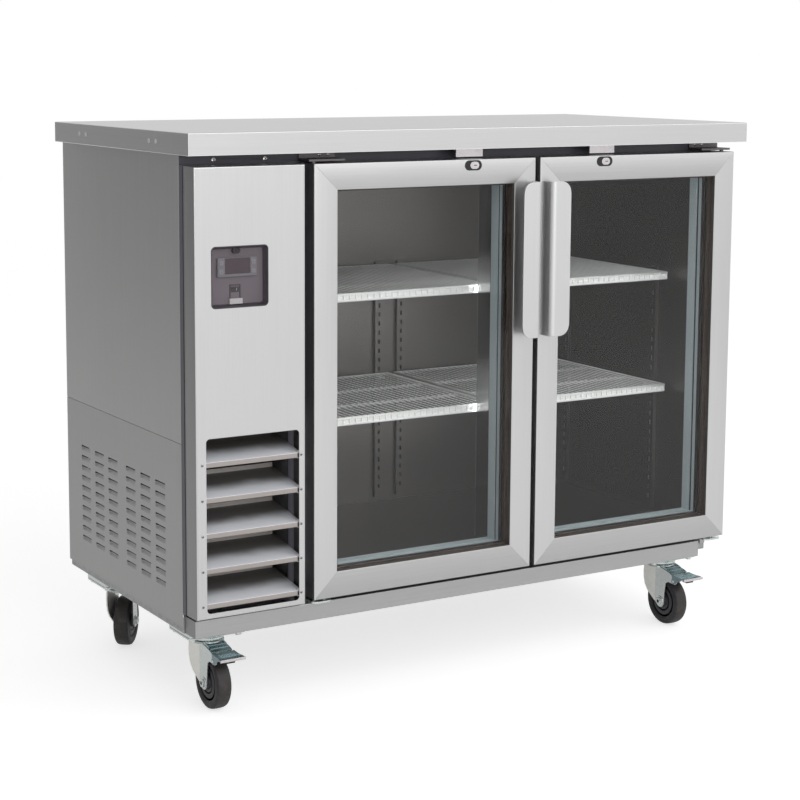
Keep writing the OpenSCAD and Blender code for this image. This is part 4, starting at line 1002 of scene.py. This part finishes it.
def rocker():
    """The power rocker in its collar, with its lower half pressed in."""
    x, y, z, tilt = CONTROL_X, 33, 774, math.radians(7)

    def tilted(points, across):
        """Points of the rocker's section, tilted about its pin, as frame points."""
        return [at(across, y + (u * math.cos(tilt) - v * math.sin(tilt)),
                   z + (u * math.sin(tilt) + v * math.cos(tilt))) for u, v in points]

    stock = Stock()
    section = [(2, -9), (-5, -10.6), (-4.1, -5), (-3.7, 0), (-4.1, 5), (-5, 10.6), (2, 9)]
    stock.prism(tilted(section, x - 7.5), Vector((15 * MM, 0, 0)))
    mark = [(-5.15, 3.5), (-5.5, 8.8)]
    stock.prism(tilted(mark, x + 1.2) + tilted(mark[::-1], x + 3.4), Vector((0, 0.9 * MM, 0)), 1)
    stock.piece("rocker_cap", "rocker", [ROCKER, ROCKER_MARK], 0.5,
                ["rocker_switch"])
    stock = Stock()
    collar = [(0, TRAY_Y + 0.5), (0, TRAY_Y - 1.6), (0.4, TRAY_Y - 2), (1.4, TRAY_Y - 2),
              (1.7, TRAY_Y + 0.5)]
    stock.ring((x - 10.5, z - 14), (x + 10.5, z + 14), collar)
    stock.piece("rocker_collar", "cabinet", ROCKER, 0.2)


def smoked_cover():
    """The clear smoked flap over the controls, with a finger notch in its top edge."""
    (x0, y0, _), (x1, y1, _) = span("control_cover")
    low_x, high_x, low_z, high_z = x0 + 2.4, x1 - 2.4, BEZEL_LOW[2] + 5.7, BEZEL_HIGH[2] - 2.4
    notch = arc(CONTROL_X, high_z + 2, 6.2, 200, 340, 10)
    r = 5
    lower_edge = (arc(low_x + r, low_z + r, r, 180, 270, 5)
                  + arc(high_x - r, low_z + r, r, 270, 360, 5))
    upper_edge = (arc(high_x - r, high_z - r, r, 0, 90, 5) + notch[::-1]
                  + arc(low_x + r, high_z - r, r, 90, 180, 5))
    stock = Stock()
    stock.prism([at(u, y0 + 0.3, v) for u, v in lower_edge + upper_edge], Vector((0, 1.6 * MM, 0)))
    for x in (low_x + 6, high_x - 12):
        stock.bar(at(x, y1 - 1, low_z + 2.5), at(x + 6, y1 - 1, low_z + 2.5), 1.5)
    stock.piece("smoked_flap", "cover", SMOKED, 0.35, ["control_cover"])


control_tray()
controller()
keys()
rocker()
smoked_cover()

# -------------------------------------------------------- inside the cold space

SHELF_FRONT = span("shelves_upper")[0][1]
SHELF_BACK = span("shelves_upper")[1][1]
SHELF_SIDES = ((300, 735), (746, 1172))
WIRE_PITCH = 13


def wire_shelf(name, top, x0, x1):
    """One coated wire shelf: rims, cross rods, and wires that turn down at the front."""
    rod, wire = 2.9, 1.5
    front, rear = SHELF_FRONT + rod, SHELF_BACK - rod
    z = top - rod
    low = top - 14
    heavy = [[(x0 + rod, front, z), (x1 - rod, front, z), (x1 - rod, rear, z),
              (x0 + rod, rear, z), (x0 + rod, front, z)],
             [(x0 + rod, front - 0.6, low), (x1 - rod, front - 0.6, low)]]
    heavy += [[(x0 + rod, y, z - 3.4), (x1 - rod, y, z - 3.4)] for y in (280, 420)]
    rim = wires(name + "_rim", "cabinet", heavy, rod, COATED_WIRE)
    stock = Stock()
    stock.block((x0 + 1, front - 0.9, low - 1), (x1 - 1, front + 0.7, top - 3.4))
    stock.piece(name + "_band", "cabinet", COATED_WIRE, 0.5)
    count = int((x1 - x0 - 20) / WIRE_PITCH)
    spread = [x0 + 9.5 + i * (x1 - x0 - 19) / count for i in range(count + 1)]
    light = [[(x, rear, top - wire), (x, front + 2, top - wire), (x, front - 1.4, top - 3.2),
              (x, front - 2.0, top - 6), (x, front - 2.0, low - 1)] for x in spread]
    wires(name + "_wires", "cabinet", light, wire, COATED_WIRE)
    return rim


def shelves():
    """Two shelves in each half of the cold space."""
    for node, label in (("shelves_upper", "upper"), ("shelves_lower", "lower")):
        top = span(node)[1][2]
        for side, (x0, x1) in zip(("left", "right"), SHELF_SIDES):
            rim = wire_shelf(f"shelf_{label}_{side}", top, x0, x1)
            if side == "left":
                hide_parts(node)


def lamp_strips():
    """Two lamp strips behind the mullion: a channel and a half-round lens."""
    low, high = span("light_strips")
    for side, x in (("left", low[0]), ("right", high[0] - 9)):
        stock = Stock()
        y, z0, z1 = low[1], low[2], high[2]
        channel = [(x, y), (x + 9, y), (x + 9, y + 3.4), (x + 8, y + 3.4), (x + 8, y + 1),
                   (x + 1, y + 1), (x + 1, y + 3.4), (x, y + 3.4)]
        stock.prism([at(u, v, z0) for u, v in channel], Vector((0, 0, (z1 - z0) * MM)))
        for z in (z0, z1 - 3):
            stock.block((x, y, z), (x + 9, y + 5.5, z + 3))
        stock.piece(f"lamp_channel_{side}", "cabinet", WHITE_PLASTIC, 0.3,
                    ["light_strips"] if side == "left" else [])
        stock = Stock()
        lens = arc(x + 4.5, y + 3, 3.4, 0, 180, 10)
        stock.prism([at(u, v, z0 + 3.2) for u, v in lens], Vector((0, 0, (z1 - z0 - 6.4) * MM)))
        stock.piece(f"lamp_lens_{side}", "cabinet", LENS, 0.2)


def evaporator_housing():
    """The painted housing on the left wall: a box with a fan opening, slots and a guard."""
    (x0, y0, z0), (x1, y1, z1) = span("evaporator_cover")
    fan_low, fan_high = span("evaporator_fan")
    fan_y, fan_z = (fan_low[1] + fan_high[1]) / 2, (fan_low[2] + fan_high[2]) / 2
    stock = Stock()
    opening = arc(fan_y, fan_z, 62, 0, 352.5, 47)
    slots = [rounded(y0 + 20, z0 + 18 + i * 18, y0 + 180, z0 + 26 + i * 18, 3.5, 4)
             for i in range(9)]
    face = [(y0, z0), (y1, z0), (y1, z1), (y0, z1)]
    stock.plate(face, [opening] + slots, facing_side(x1), Vector((-SHEET * MM, 0, 0)))
    for z in (z0, z1 - SHEET):
        stock.block((x0, y0, z), (x1 - SHEET, y1, z + SHEET))
    for y in (y0, y1 - SHEET):
        stock.block((x0, y, z0 + SHEET), (x1 - SHEET, y + SHEET, z1 - SHEET))
    stock.turned([(28, 0), (28, 46), (24, 48)], at(x0, fan_y, fan_z), (1, 0, 0), 1, 32)
    stock.piece("evaporator_housing", "cabinet", [COIL_COVER, BLACK_AND_SHADE], 0.8,
                ["evaporator_cover"])
    guard = []
    for r in (18, 30, 42, 54, 62):
        guard.append([(x1 + 2, fan_y + u, fan_z + v) for u, v in arc(0, 0, r, 0, 360, 40)])
    for i in range(4):
        angle = math.radians(45 * i + 20)
        u, v = 64 * math.cos(angle), 64 * math.sin(angle)
        guard.append([(x1 + stand_off, fan_y + share * u, fan_z + share * v)
                      for share, stand_off in ((-1, 0.6), (-0.9, 3.4), (0.9, 3.4), (1, 0.6))])
    wires("evaporator_guard", "cabinet", guard, 1.2, COATED_WIRE)


shelves()
lamp_strips()
evaporator_housing()

# --------------------------------------------------------------------- doors

STILE_W, DOOR_T, LAP = 48, 50, 8


def member_section():
    """Section of a door member: (distance from the door's edge, depth behind its face)."""
    face = [(1.6 + u, 1.6 + v) for u, v in arc(0, 0, 1.6, 180, 270, 4)]
    nose = [(STILE_W - 0.9 + u, 0.9 + v) for u, v in arc(0, 0, 0.9, 270, 360, 3)]
    rebate = [(STILE_W, 4.8), (STILE_W - LAP, 4.8), (STILE_W - LAP, 31.4), (STILE_W, 31.4)]
    back = [(STILE_W, DOOR_T), (1.0, DOOR_T), (0, DOOR_T - 1)]
    return face + nose + rebate + back


def members(stock, low, high, upright):
    """Two opposite members of a door frame, cut on the mitre with a hairline gap."""
    gap = 0.09
    section = member_section()
    ends = [(low[0], low[1], 1, 1), (high[0], low[1], -1, 1),
            (high[0], high[1], -1, -1), (low[0], high[1], 1, -1)]
    pairs = ((3, 0), (1, 2)) if upright else ((0, 1), (2, 3))
    for first, last in pairs:
        loops = []
        for corner in (first, last):
            x, z, a, b = ends[corner]
            slip = (0, b * gap) if upright else (a * gap, 0)
            loops.append([at(x + a * u + slip[0], FACE_Y + v, z + b * u + slip[1])
                          for u, v in section])
        stock.skin(loops)


def door_frame(side, low, high):
    """Four mitred members, brushed along their length, and the trim round the opening."""
    body, node = f"door_{side}", f"door_{side}_frame"
    stock = Stock()
    members(stock, low, high, True)
    stock.piece(f"{body}_stiles", body, STILE, 0.12, [node])
    # The rails take the darker steel: painted shade.
    stock = Stock()
    members(stock, low, high, False)
    stock.piece(f"{body}_rails", body, RAIL, 0.12)
    inner_low = (low[0] + STILE_W, low[1] + STILE_W)
    inner_high = (high[0] - STILE_W, high[1] - STILE_W)
    stock = Stock()
    outer_bead = [(-1, 21.8), (-1, 17.8), (0.6, 18.2), (2.6, 21.8)]
    inner_bead = [(-0.5, 48.1), (2.4, 48.1), (1.6, 52), (1.0, 58), (-0.5, 58)]
    for bead in (outer_bead, inner_bead):
        stock.ring(inner_low, inner_high, bead)
    stock.piece(f"{body}_beads", body, BEAD, 0.15)
    stock = Stock()
    trim = [(-0.6, 58.1), (1.2, 58.1), (1.2, 66.6), (0.4, 67.4), (-5, 67.4), (-5, 67.05),
            (-0.6, 67.05)]
    stock.ring(inner_low, inner_high, trim)
    stock.piece(f"{body}_trim", body, TRIM, 0.2)


def door_glass(side):
    """Two panes with a bronze spacer between their edges."""
    body, pane = f"door_{side}", 4
    (x0, y0, z0), (x1, y1, z1) = span(f"door_{side}_glass")
    stock = Stock()
    for y in (y0, y1 - pane):
        stock.block((x0, y, z0), (x1, y + pane, z1))
    stock.piece(f"{body}_panes", body, GLASS, 0.3, [f"door_{side}_glass"])
    stock = Stock()
    spacer = [(0, y0 + 4.1), (7.0, y0 + 4.1), (8.0, y0 + 5.2), (8.0, y1 - 5.2), (7.0, y1 - 4.1),
              (0, y1 - 4.1)]
    stock.ring((x0, z0), (x1, z1), spacer)
    stock.piece(f"{body}_spacer", body, SPACER, 0.2)


def door_seal(side):
    """The magnetic gasket: a bellows between two lips."""
    (x0, y0, z0), (x1, y1, z1) = span(f"door_{side}_gasket")
    frame_low, frame_high = span(f"door_{side}_frame")
    opening = frame_high[0] - frame_low[0] - 2 * STILE_W
    wide = (x1 - x0 - opening) / 2
    section = [(0, y0), (0.6, y0 + 1.6), (4, y0 + 2.4), (6.5, y0 + 5.6), (9.5, y1 - 0.3),
               (12, y1), (21, y1), (23.4, y1 - 0.5), (25.4, y0 + 4.6), (28, y0 + 2.2),
               (wide - 0.6, y0 + 1.4), (wide, y0)]
    stock = Stock()
    stock.ring((x0, z0), (x1, z1), section)
    stock.piece(f"door_{side}_seal", f"door_{side}", SEAL, 0.3,
                [f"door_{side}_gasket"])


def door_handle(side):
    """A sheet bent out from the door's edge into a broad grip with round free corners."""
    (x0, y0, z0), (x1, y1, z1) = span(f"door_{side}_handle")
    wide, reach, r, corner, t = x1 - x0, y1 - y0, 11, 22, 2.5
    path = [(0, reach - 0.02), (0, (reach - r) * 0.5 + r)]
    path += [(r + u, r + v) for u, v in arc(0, 0, r, 180, 270, 10)]
    steps = 14
    path += [(r + (wide - r) * i / steps, 0) for i in range(1, steps + 1)]
    mid, half = (z0 + z1) / 2, (z1 - z0) / 2
    sign, edge_x = (-1, x1) if side == "left" else (1, x0)

    def thick(index):
        """Inward offset of the sheet at a point of the path."""
        before, after = path[max(index - 1, 0)], path[min(index + 1, len(path) - 1)]
        run = Vector((after[0] - before[0], after[1] - before[1])).normalized()
        return (-run.y * t, run.x * t)

    front, rear = [], []
    for i, (u, v) in enumerate(path):
        over = u - (wide - corner)
        tall = half if over <= 0 else half - corner + math.sqrt(max(corner ** 2 - over ** 2, 0))
        du, dv = thick(i)
        column = [mid + tall * (j / 8 - 1) for j in range(17)]
        front.append([at(edge_x + sign * u, y0 + v, z) for z in column])
        rear.append([at(edge_x + sign * (u + du), y0 + v + dv, z) for z in column])
    stock = Stock()
    stock.shell(front, rear)
    stock.piece(f"door_{side}_grip", f"door_{side}", HANDLE, 0.5,
                [f"door_{side}_handle"], turn=50)


def door_lock(side, x):
    """An oval cup in the top rail, with a barrel that has a key slot, and its cam."""
    body, turning = f"door_{side}", f"lock_{side}_barrel"
    z = DOOR_TOP - 11.5
    y_face = FACE_Y - 0.5
    stock = Stock()
    cup = stadium(x - 4.5, z, 38, 19, 12)
    stock.prism([at(u, y_face, v) for u, v in cup], Vector((0, 3 * MM, 0)))
    stock.piece(f"{body}_lock_cup", body, BLACK_AND_SHADE, 0.35)
    stock = Stock()
    front = span(f"lock_{side}")[0][1]
    shape = stadium(x - 1.5, z, 19.6, 13.4, 12)
    stock.prism([at(u, front, v) for u, v in shape], Vector((0, 4 * MM, 0)))
    stock.turned([(7.4, 4), (7.4, 37), (7.4, 37.1)], at(x, front, z), (0, 1, 0))
    stock.block((x, FACE_Y + 34, z - 5), (x + 22, FACE_Y + 37, z + 5))
    # The key slot is a black bar: painted shade.
    slot = stadium(x, z, 7.0, 1.6, 4)
    stock.prism([at(u, front - 0.06, v) for u, v in slot], Vector((0, 0.5 * MM, 0)), 1)
    stock.piece(f"{body}_lock_barrel", turning, [KEEPER, BLACK_AND_SHADE], 0.3,
                [f"lock_{side}"])


HINGE_PINS = ((266, 1), (1215, -1))


def hinge_brackets():
    """Angle brackets over the doors in zinc darkened as painted shade, and bright ones with a
    round nose under them.
    """
    bracket_top = span("hinge_brackets")[1][2]
    door_low = span("door_left_frame")[0][2]
    pin_y, nose_r, under_z = 42, 11, RAIL_TOP + 0.3
    upright = (0, 0, 1)
    over = Stock()
    under = Stock()
    for x, way in HINGE_PINS:
        a, b = sorted((x - 14 * way, x + 60 * way))
        over.block((a, RAIL_Y, DOOR_TOP + 3), (b, PANEL_Y, DOOR_TOP + 7))
        over.block((a, PANEL_Y - 4, DOOR_TOP + 7), (b, PANEL_Y, bracket_top))
        over.bar(at(x, pin_y, DOOR_TOP - 22), at(x, pin_y, DOOR_TOP + 3), 4)
        a, b = sorted((x - 12 * way, x + 30 * way))
        nose = (arc(a + nose_r, RAIL_Y, nose_r, 180, 270, 6)
                + arc(b - nose_r, RAIL_Y, nose_r, 270, 360, 6))
        plate = nose + [(b, PANEL_Y - 1), (a, PANEL_Y - 1)]
        under.prism([at(u, v, under_z) for u, v in plate], Vector((0, 0, 3.6 * MM)))
        cap = [(5, 0), (5, 2.6), (3.6, 3.4)]
        under.turned(cap, at(x + 20 * way, 40, under_z + 3.5), upright, 0, 20)
        under.bar(at(x, pin_y, door_low - 3), at(x, pin_y, door_low + 22), 4)
        under.turned([(8, 0), (8, 1.7)], at(x, pin_y, door_low - 2), upright)
    over.piece("upper_hinge_brackets", "cabinet", SHADED_ZINC, 0.4, ["hinge_brackets"])
    under.piece("lower_hinge_brackets", "cabinet", ZINC, 0.4)


def hinge_screws():
    """Screws in the brackets over and under the doors."""
    stock = Stock()
    low, high = span("hinge_brackets")
    for x in (low[0] + 42, low[0] + 60, high[0] - 60, high[0] - 42):
        cross_screw(stock, at(x, PANEL_Y - 4, COUNTER_Z - 7), (0, -1, 0), 3.0)
    stock.piece("hinge_screws", "cabinet", [KEEPER, BLACK_AND_SHADE], 0.1)


def door(side, lock_x):
    """One glass door with all that moves with it."""
    low3, high3 = span(f"door_{side}_frame")
    low, high = (low3[0], low3[2]), (high3[0], high3[2])
    door_frame(side, low, high)
    door_glass(side)
    door_seal(side)
    door_handle(side)
    door_lock(side, lock_x)


LOCK_XS = {"left": 597, "right": 903}
for door_side, barrel_x in LOCK_XS.items():
    door(door_side, barrel_x)
hinge_brackets()
hinge_screws()

# ------------------------------------------------------------------- casters

AXLE_Z, TRAIL, LEG_OUT, LEG_T = 50, 25, 20, 2.5
PEDAL_PIN = (70, 103)
CASTERS = {"fl": (86, 120, -90, True), "fr": (1147, 120, -90, True),
           "rl": (82, 505, 52, False), "rr": (1147, 505, 110, False)}


class Trailing:
    """Places of one caster: u runs from its swivel axis towards its wheel, v across."""

    def __init__(self, x, y, turn):
        self.x, self.y = x, y
        angle = math.radians(turn)
        self.u = Vector((math.cos(angle), math.sin(angle), 0))
        self.v = Vector((-math.sin(angle), math.cos(angle), 0))

    def at(self, u, v, z):
        return at(self.x, self.y, z) + (self.u * u + self.v * v) * MM


def mount_plate(name, x, y, stands_for):
    """Top plate with its bolts, the pressed race under it, its packing and the rubber pad."""
    top, half_x, half_y, pad_z = 143, 57, 46, 150.6
    bolts = [(x + i * 46, y + j * 35) for i in (-1, 1) for j in (-1, 1)]
    upright = (0, 0, 1)
    stock = Stock()
    plate = rounded(x - half_x, y - half_y, x + half_x, y + half_y, 6, 5)
    slots = [stadium(bolt_x, bolt_y, 14, 9, 5) for bolt_x, bolt_y in bolts]
    stock.plate(plate, slots, lambda u, v: at(u, v, top - 3.5), Vector((0, 0, 3.45 * MM)))
    race = [(20, 139.6), (27, 139.4), (29.4, 137.5), (29.6, 134), (31, 132), (31.2, 129),
            (29.5, 127.4), (12, 127.3)]
    stock.turned(race, at(x, y, 0), upright, 0, 56)
    for bolt_x, bolt_y in bolts:
        stock.turned([(6.4, 134.2), (6.4, 138.6)], at(bolt_x, bolt_y, 0), upright, 0, 6)
        stock.turned([(8, 138.7), (8, 139.5)], at(bolt_x, bolt_y, 0), upright, 0, 20)
    stock.block((x - half_x + 1, y - half_y + 1, top + 0.1),
                (x + half_x - 1, y + half_y - 1, pad_z - 0.2))
    stock.piece(name + "_plate", "cabinet", ZINC, 0.5, stands_for)
    stock = Stock()
    stock.block((x - half_x, y - half_y, pad_z), (x + half_x, y + half_y, RAIL_Z))
    stock.piece(name + "_packing", "cabinet", PAD, 0.8)


HEEL = [(-16, 127), (-19, 119), (-20, 106), (-19.4, 93), (-16.5, 79), (-10, 66), (-1, 56), (6, 48)]
FLARE_FROM, FLARE, LEG_TOP, LEG_LOW = 8, 0.32, 127, 47


def leg_outline(braked):
    """Side view of the flat part of a leg, as (u, z): round at the axle, wide at the top."""
    foot = arc(TRAIL, AXLE_Z, 13, 212, 346, 12)
    if braked:
        toe = [(TRAIL + 13.5, AXLE_Z + 18), (TRAIL + 17, 92), (TRAIL + 26, 97)]
        toe += arc(*PEDAL_PIN, 7.5, -100, 75, 8) + [(56, 116), (40, 124), (26, LEG_TOP)]
    else:
        toe = [(TRAIL + 13.5, AXLE_Z + 12), (TRAIL + 11, 97), (TRAIL + 22, 115), (26, LEG_TOP)]
    return [(FLARE_FROM, LEG_TOP), (FLARE_FROM, LEG_LOW)] + foot + toe


def fork(name, body, place, braked, node):
    """The pressed fork: a domed crown, legs that flare at the rear, the axle bolt and nuts."""
    stock = Stock()
    widest = LEG_OUT + FLARE * (FLARE_FROM + 20)
    for side in (-1, 1):
        inner = side * (LEG_OUT - LEG_T)
        thick = place.v * side * LEG_T * MM
        stock.prism([place.at(u, inner, z) for u, z in leg_outline(braked)], thick)
        # The flared heels take the paler zinc: painted light.
        heel = [(FLARE_FROM, LEG_LOW), (FLARE_FROM, LEG_TOP)] + HEEL
        stock.prism([place.at(u, inner + side * FLARE * (FLARE_FROM - u), z) for u, z in heel],
                    thick, 3)
    crown = [(4, 127.0), (24, 127.0), (28, 126.4), (31, 124.6), (31.6, 122), (29.4, 121.4),
             (27, 123.6), (4, 124)]
    stock.turned([(r, z) for r, z in crown], place.at(0, 0, 0), (0, 0, 1), 0, 48)
    bridge = [(-18, -widest + 1), (FLARE_FROM, -LEG_OUT), (26, -LEG_OUT), (26, LEG_OUT),
              (FLARE_FROM, LEG_OUT), (-18, widest - 1)]
    stock.prism([place.at(u, v, 124) for u, v in bridge], Vector((0, 0, 2.9 * MM)))
    if braked:
        shield = [(24, 124.6), (40, 122.0), (56, 118.6), (61.5, 116.8)]
        tread = [[place.at(u, v, z) for v in (-21, -10, 0, 10, 21)] for u, z in shield]
        stock.slab(tread, Vector((0, 0, -1.8 * MM)), 2)
        for u, z in ((38, 122.5), (50, 120.0)):
            rib = [(u, z - 0.6), (u + 2.4, z - 1.1), (u + 2.0, z + 0.8), (u + 0.5, z + 1.0)]
            stock.prism([place.at(a, -18, h) for a, h in rib], place.v * 36 * MM, 2)
    stock.turned([(7.9, 0), (7.9, 17)], place.at(0, 0, 125), (0, 0, 1), 0, 24)
    axle = place.at(TRAIL, -LEG_OUT - 0.1, AXLE_Z)
    stock.turned([(5.9, 0), (5.9, 2 * LEG_OUT + 0.2)], axle, place.v, 0, 24)
    for side in (-1, 1):
        face = place.at(TRAIL, side * LEG_OUT, AXLE_Z)
        stock.turned([(11, 0), (11, 0.9), (10.4, 1.2)], face, place.v * side, 0, 32)
        stock.turned([(8.8, 1.0), (8.8, 4.2), (7.6, 5.0)], face, place.v * side, 0, 6)
        stock.turned([(4, 1.0), (4, 4.96), (3.4, 5.0)], face, place.v * side, 1, 20)
    stock.piece(name + "_fork", body, [ZINC, KEEPER, DARK_ZINC, LIT_ZINC], 0.5, [node])


def wheel(name, body, place, node):
    """A solid rubber tyre with a worn tread, on a stepped hub with a dust cap."""
    centre = place.at(TRAIL, 0, AXLE_Z)
    stock = Stock()
    wall = [(33.2, -11.4), (34.6, -12.6), (37, -14.4), (42, -15), (45.5, -14.6), (47.6, -13.2)]
    tread = [(48.6, -12.2), (49.5, -9.6), (49.9, -6), (50, -2), (50, 2), (49.9, 6), (49.5, 9.6),
             (48.6, 12.2)]
    stock.turned(wall + [tread[0]], centre, place.v, 0, 72)
    stock.turned([tread[-1]] + [(r, -h) for r, h in wall[::-1]], centre, place.v, 0, 72)
    stock.turned(tread, centre, place.v, 2, 72)
    hub = [(6.06, -16.4), (12, -16.4), (13, -15.6), (13.6, -12.6), (21.5, -12.0), (23, -13.4),
           (29.5, -13.0), (31, -11.6), (33.3, -11.5)]
    stock.turned(hub + [(r, -h) for r, h in hub[::-1]], centre, place.v, 1, 72)
    stock.piece(name + "_wheel", body, [TYRE, HUB, TREAD], 0.3, [node], turn=40)


def pedal(name, body, place, node):
    """The brake pedal: cheeks on a pin, a dished tread, a pale lip and a rubber shoe."""
    stock = Stock()
    (u0, z0), out = PEDAL_PIN, LEG_OUT + 0.4
    for side in (-1, 1):
        v0 = -out - 2 if side < 0 else out
        cheek = (arc(u0, z0, 6.5, 130, 300, 9)
                 + [(u0 + 26, z0 + 8.5), (u0 + 26, z0 + 12.5), (u0 - 5, z0 + 12.8)])
        stock.prism([place.at(u, v0, z) for u, z in cheek], place.v * 2 * MM, 1)
    rows = []
    for i in range(11):
        t = i / 10
        u = u0 - 4 + 41 * t
        wide = out + 2 + 3.0 * t * t
        dip = 1.3 * math.sin(t * math.pi) + 2.2 * max(0, t - 0.75) * 4
        rows.append([place.at(u, wide * s, z0 + 11.2 - dip + 0.9 * s * s)
                     for s in (-1, -0.8, -0.5, -0.2, 0.2, 0.5, 0.8, 1)])
    stock.slab(rows, Vector((0, 0, 1.8 * MM)), 1)
    lip = [(u0 + 36, z0 + 7.2), (u0 + 38.4, z0 + 7.6), (u0 + 38.4, z0 + 12.4),
           (u0 + 36, z0 + 12.6)]
    stock.prism([place.at(u, -out - 4.6, z) for u, z in lip], place.v * (2 * out + 9.2) * MM, 0)
    for u in (u0 + 8, u0 + 14, u0 + 20):
        rib = [(u, z0 + 11.0), (u + 2, z0 + 11.0), (u + 1.6, z0 + 12.9), (u + 0.4, z0 + 12.9)]
        stock.prism([place.at(a, -out + 3, z) for a, z in rib], place.v * (2 * out - 6) * MM, 1)
    stock.turned([(2.9, 0), (2.9, 2 * out + 6)], place.at(u0, -out - 3, z0), place.v, 0, 20)
    shoe = [(u0 + 14, z0 + 0.5), (u0 + 27, z0 + 0.5), (u0 + 28, z0 + 10), (u0 + 14, z0 + 10.4)]
    stock.prism([place.at(u, -9, z) for u, z in shoe], place.v * 18 * MM, 2)
    stock.piece(name + "_pedal", body, [KEEPER, DARK_ZINC, BRAKE_PAD], 0.4, [node])


def casters():
    """Four swivel casters; the front two have brakes."""
    for number, (corner, (x, y, turn, braked)) in enumerate(CASTERS.items()):
        name = f"caster_{corner}"
        place = Trailing(x, y, turn)
        mount_plate(name, x, y, ["caster_plates"] if number == 0 else [])
        fork(name, f"fork_{corner}", place, braked, f"caster_fork_{corner}")
        wheel(name, f"wheel_{corner}", place, f"caster_wheel_{corner}")
        if braked:
            pedal(name, f"pedal_{corner}", place, f"brake_pedal_{corner}")


casters()

# --------------------------------------------------------------------- studio


def seen_directly(tree, glossy):
    """A mask that is 1 for rays from the camera or through glass, and glossy for reflections."""
    path = add(tree, "LightPath")
    straight = add(tree, "Math", operation="MAXIMUM")
    mirrored = add(tree, "Math", operation="MULTIPLY")
    mirrored.inputs[1].default_value = glossy
    seen = add(tree, "Math", operation="MAXIMUM")
    join(tree, (path.outputs["Is Camera Ray"], straight.inputs[0]),
         (path.outputs["Is Transmission Ray"], straight.inputs[1]),
         (path.outputs["Is Glossy Ray"], mirrored.inputs[0]),
         (straight.outputs[0], seen.inputs[0]), (mirrored.outputs[0], seen.inputs[1]))
    return seen.outputs[0]


def white_room():
    """Even light from all round, with plain white where the eye and the metal look past."""
    world = bpy.data.worlds.new("white room")
    bpy.context.scene.world = world
    world.use_nodes = True
    tree = world.node_tree
    tree.nodes.clear()
    out = tree.nodes.new("ShaderNodeOutputWorld")
    room = add(tree, "Background", Color=(1, 1, 1, 1), Strength=0.55)
    white = add(tree, "Background", Color=(1, 1, 1, 1), Strength=1.0)
    mixed = add(tree, "MixShader")
    join(tree, (seen_directly(tree, 1.0), mixed.inputs[0]), (room.outputs[0], mixed.inputs[1]),
         (white.outputs[0], mixed.inputs[2]), (mixed.outputs[0], out.inputs["Surface"]))


def grey_card():
    """A tall grey card that shades the left side. It is left out of the direct view."""
    mesh = bpy.data.meshes.new("grey_card")
    mesh.from_pydata([(-3.4, -2.2, 0.0), (-3.4, 9.0, 0.0), (-3.4, 9.0, 4.2), (-3.4, -2.2, 4.2)],
                     [], [(0, 1, 2, 3)])
    card = bpy.data.objects.new("grey_card", mesh)
    bpy.context.scene.collection.objects.link(card)
    mesh.materials.append(moulded_plastic("card grey", (0.62, 0.62, 0.62, 1), rough=(0.9, 1.0)))
    card.visible_camera = False
    card.visible_transmission = False
    card.visible_shadow = False


def pale_floor():
    """A wide pale floor that shows white, with the refrigerator's soft shadow."""
    mesh = bpy.data.meshes.new("studio_floor")
    reach = 14
    mesh.from_pydata([(-reach, -reach, 0), (reach, -reach, 0), (reach, reach, 0),
                      (-reach, reach, 0)], [], [(0, 1, 2, 3)])
    floor = bpy.data.objects.new("studio_floor", mesh)
    bpy.context.scene.collection.objects.link(floor)
    finish, tree, shader = start_finish("pale floor", Roughness=0.9, Specular_IOR_Level=0.0)
    shader.inputs["Base Color"].default_value = grey(0.62)
    lift = add(tree, "Math", operation="MULTIPLY")
    lift.inputs[1].default_value = 0.66
    shader.inputs["Emission Color"].default_value = (1, 1, 1, 1)
    join(tree, (seen_directly(tree, 0.5), lift.inputs[0]),
         (lift.outputs[0], shader.inputs["Emission Strength"]))
    mesh.materials.append(finish)


def softbox(name, place, aim, size, power):
    """A rectangular studio lamp at a place, aimed at a point, both in metres."""
    lamp = bpy.data.lights.new(name, "AREA")
    lamp.shape = "RECTANGLE"
    lamp.size, lamp.size_y = size
    lamp.energy = power
    thing = bpy.data.objects.new(name, lamp)
    thing.location = place
    thing.rotation_euler = (Vector(aim) - Vector(place)).to_track_quat("-Z", "Y").to_euler()
    bpy.context.scene.collection.objects.link(thing)


def camera():
    """A long lens, left of and above the refrigerator, looking slightly down."""
    yaw, pitch, roll = math.radians(30.395), math.radians(7.719), math.radians(0.216)
    ahead = Vector((math.sin(yaw) * math.cos(pitch), math.cos(yaw) * math.cos(pitch),
                    -math.sin(pitch)))
    right = Vector((math.cos(yaw), -math.sin(yaw), 0))
    up = right.cross(ahead)
    level_right = right * math.cos(roll) + up * math.sin(roll)
    level_up = up * math.cos(roll) - right * math.sin(roll)
    data = bpy.data.cameras.new("camera")
    data.lens, data.sensor_width = 85.2, 36
    data.shift_x, data.shift_y = 0.04, -0.11
    data.clip_end = 60
    thing = bpy.data.objects.new("camera", data)
    turn = Matrix((level_right, level_up, -ahead)).transposed().to_4x4()
    thing.matrix_world = Matrix.Translation((-1.988, -3.236, 1.187)) @ turn
    bpy.context.scene.collection.objects.link(thing)
    bpy.context.scene.camera = thing


white_room()
pale_floor()
grey_card()
softbox("key_softbox", (1.6, -3.2, 3.4), (0.0, -0.2, 0.6), (4.4, 3.4), 56)
softbox("low_softbox", (-0.7, -3.6, 1.7), (-0.5, -0.3, 0.4), (1.6, 1.0), 19)
camera()
bpy.context.scene.view_settings.view_transform = "Standard"
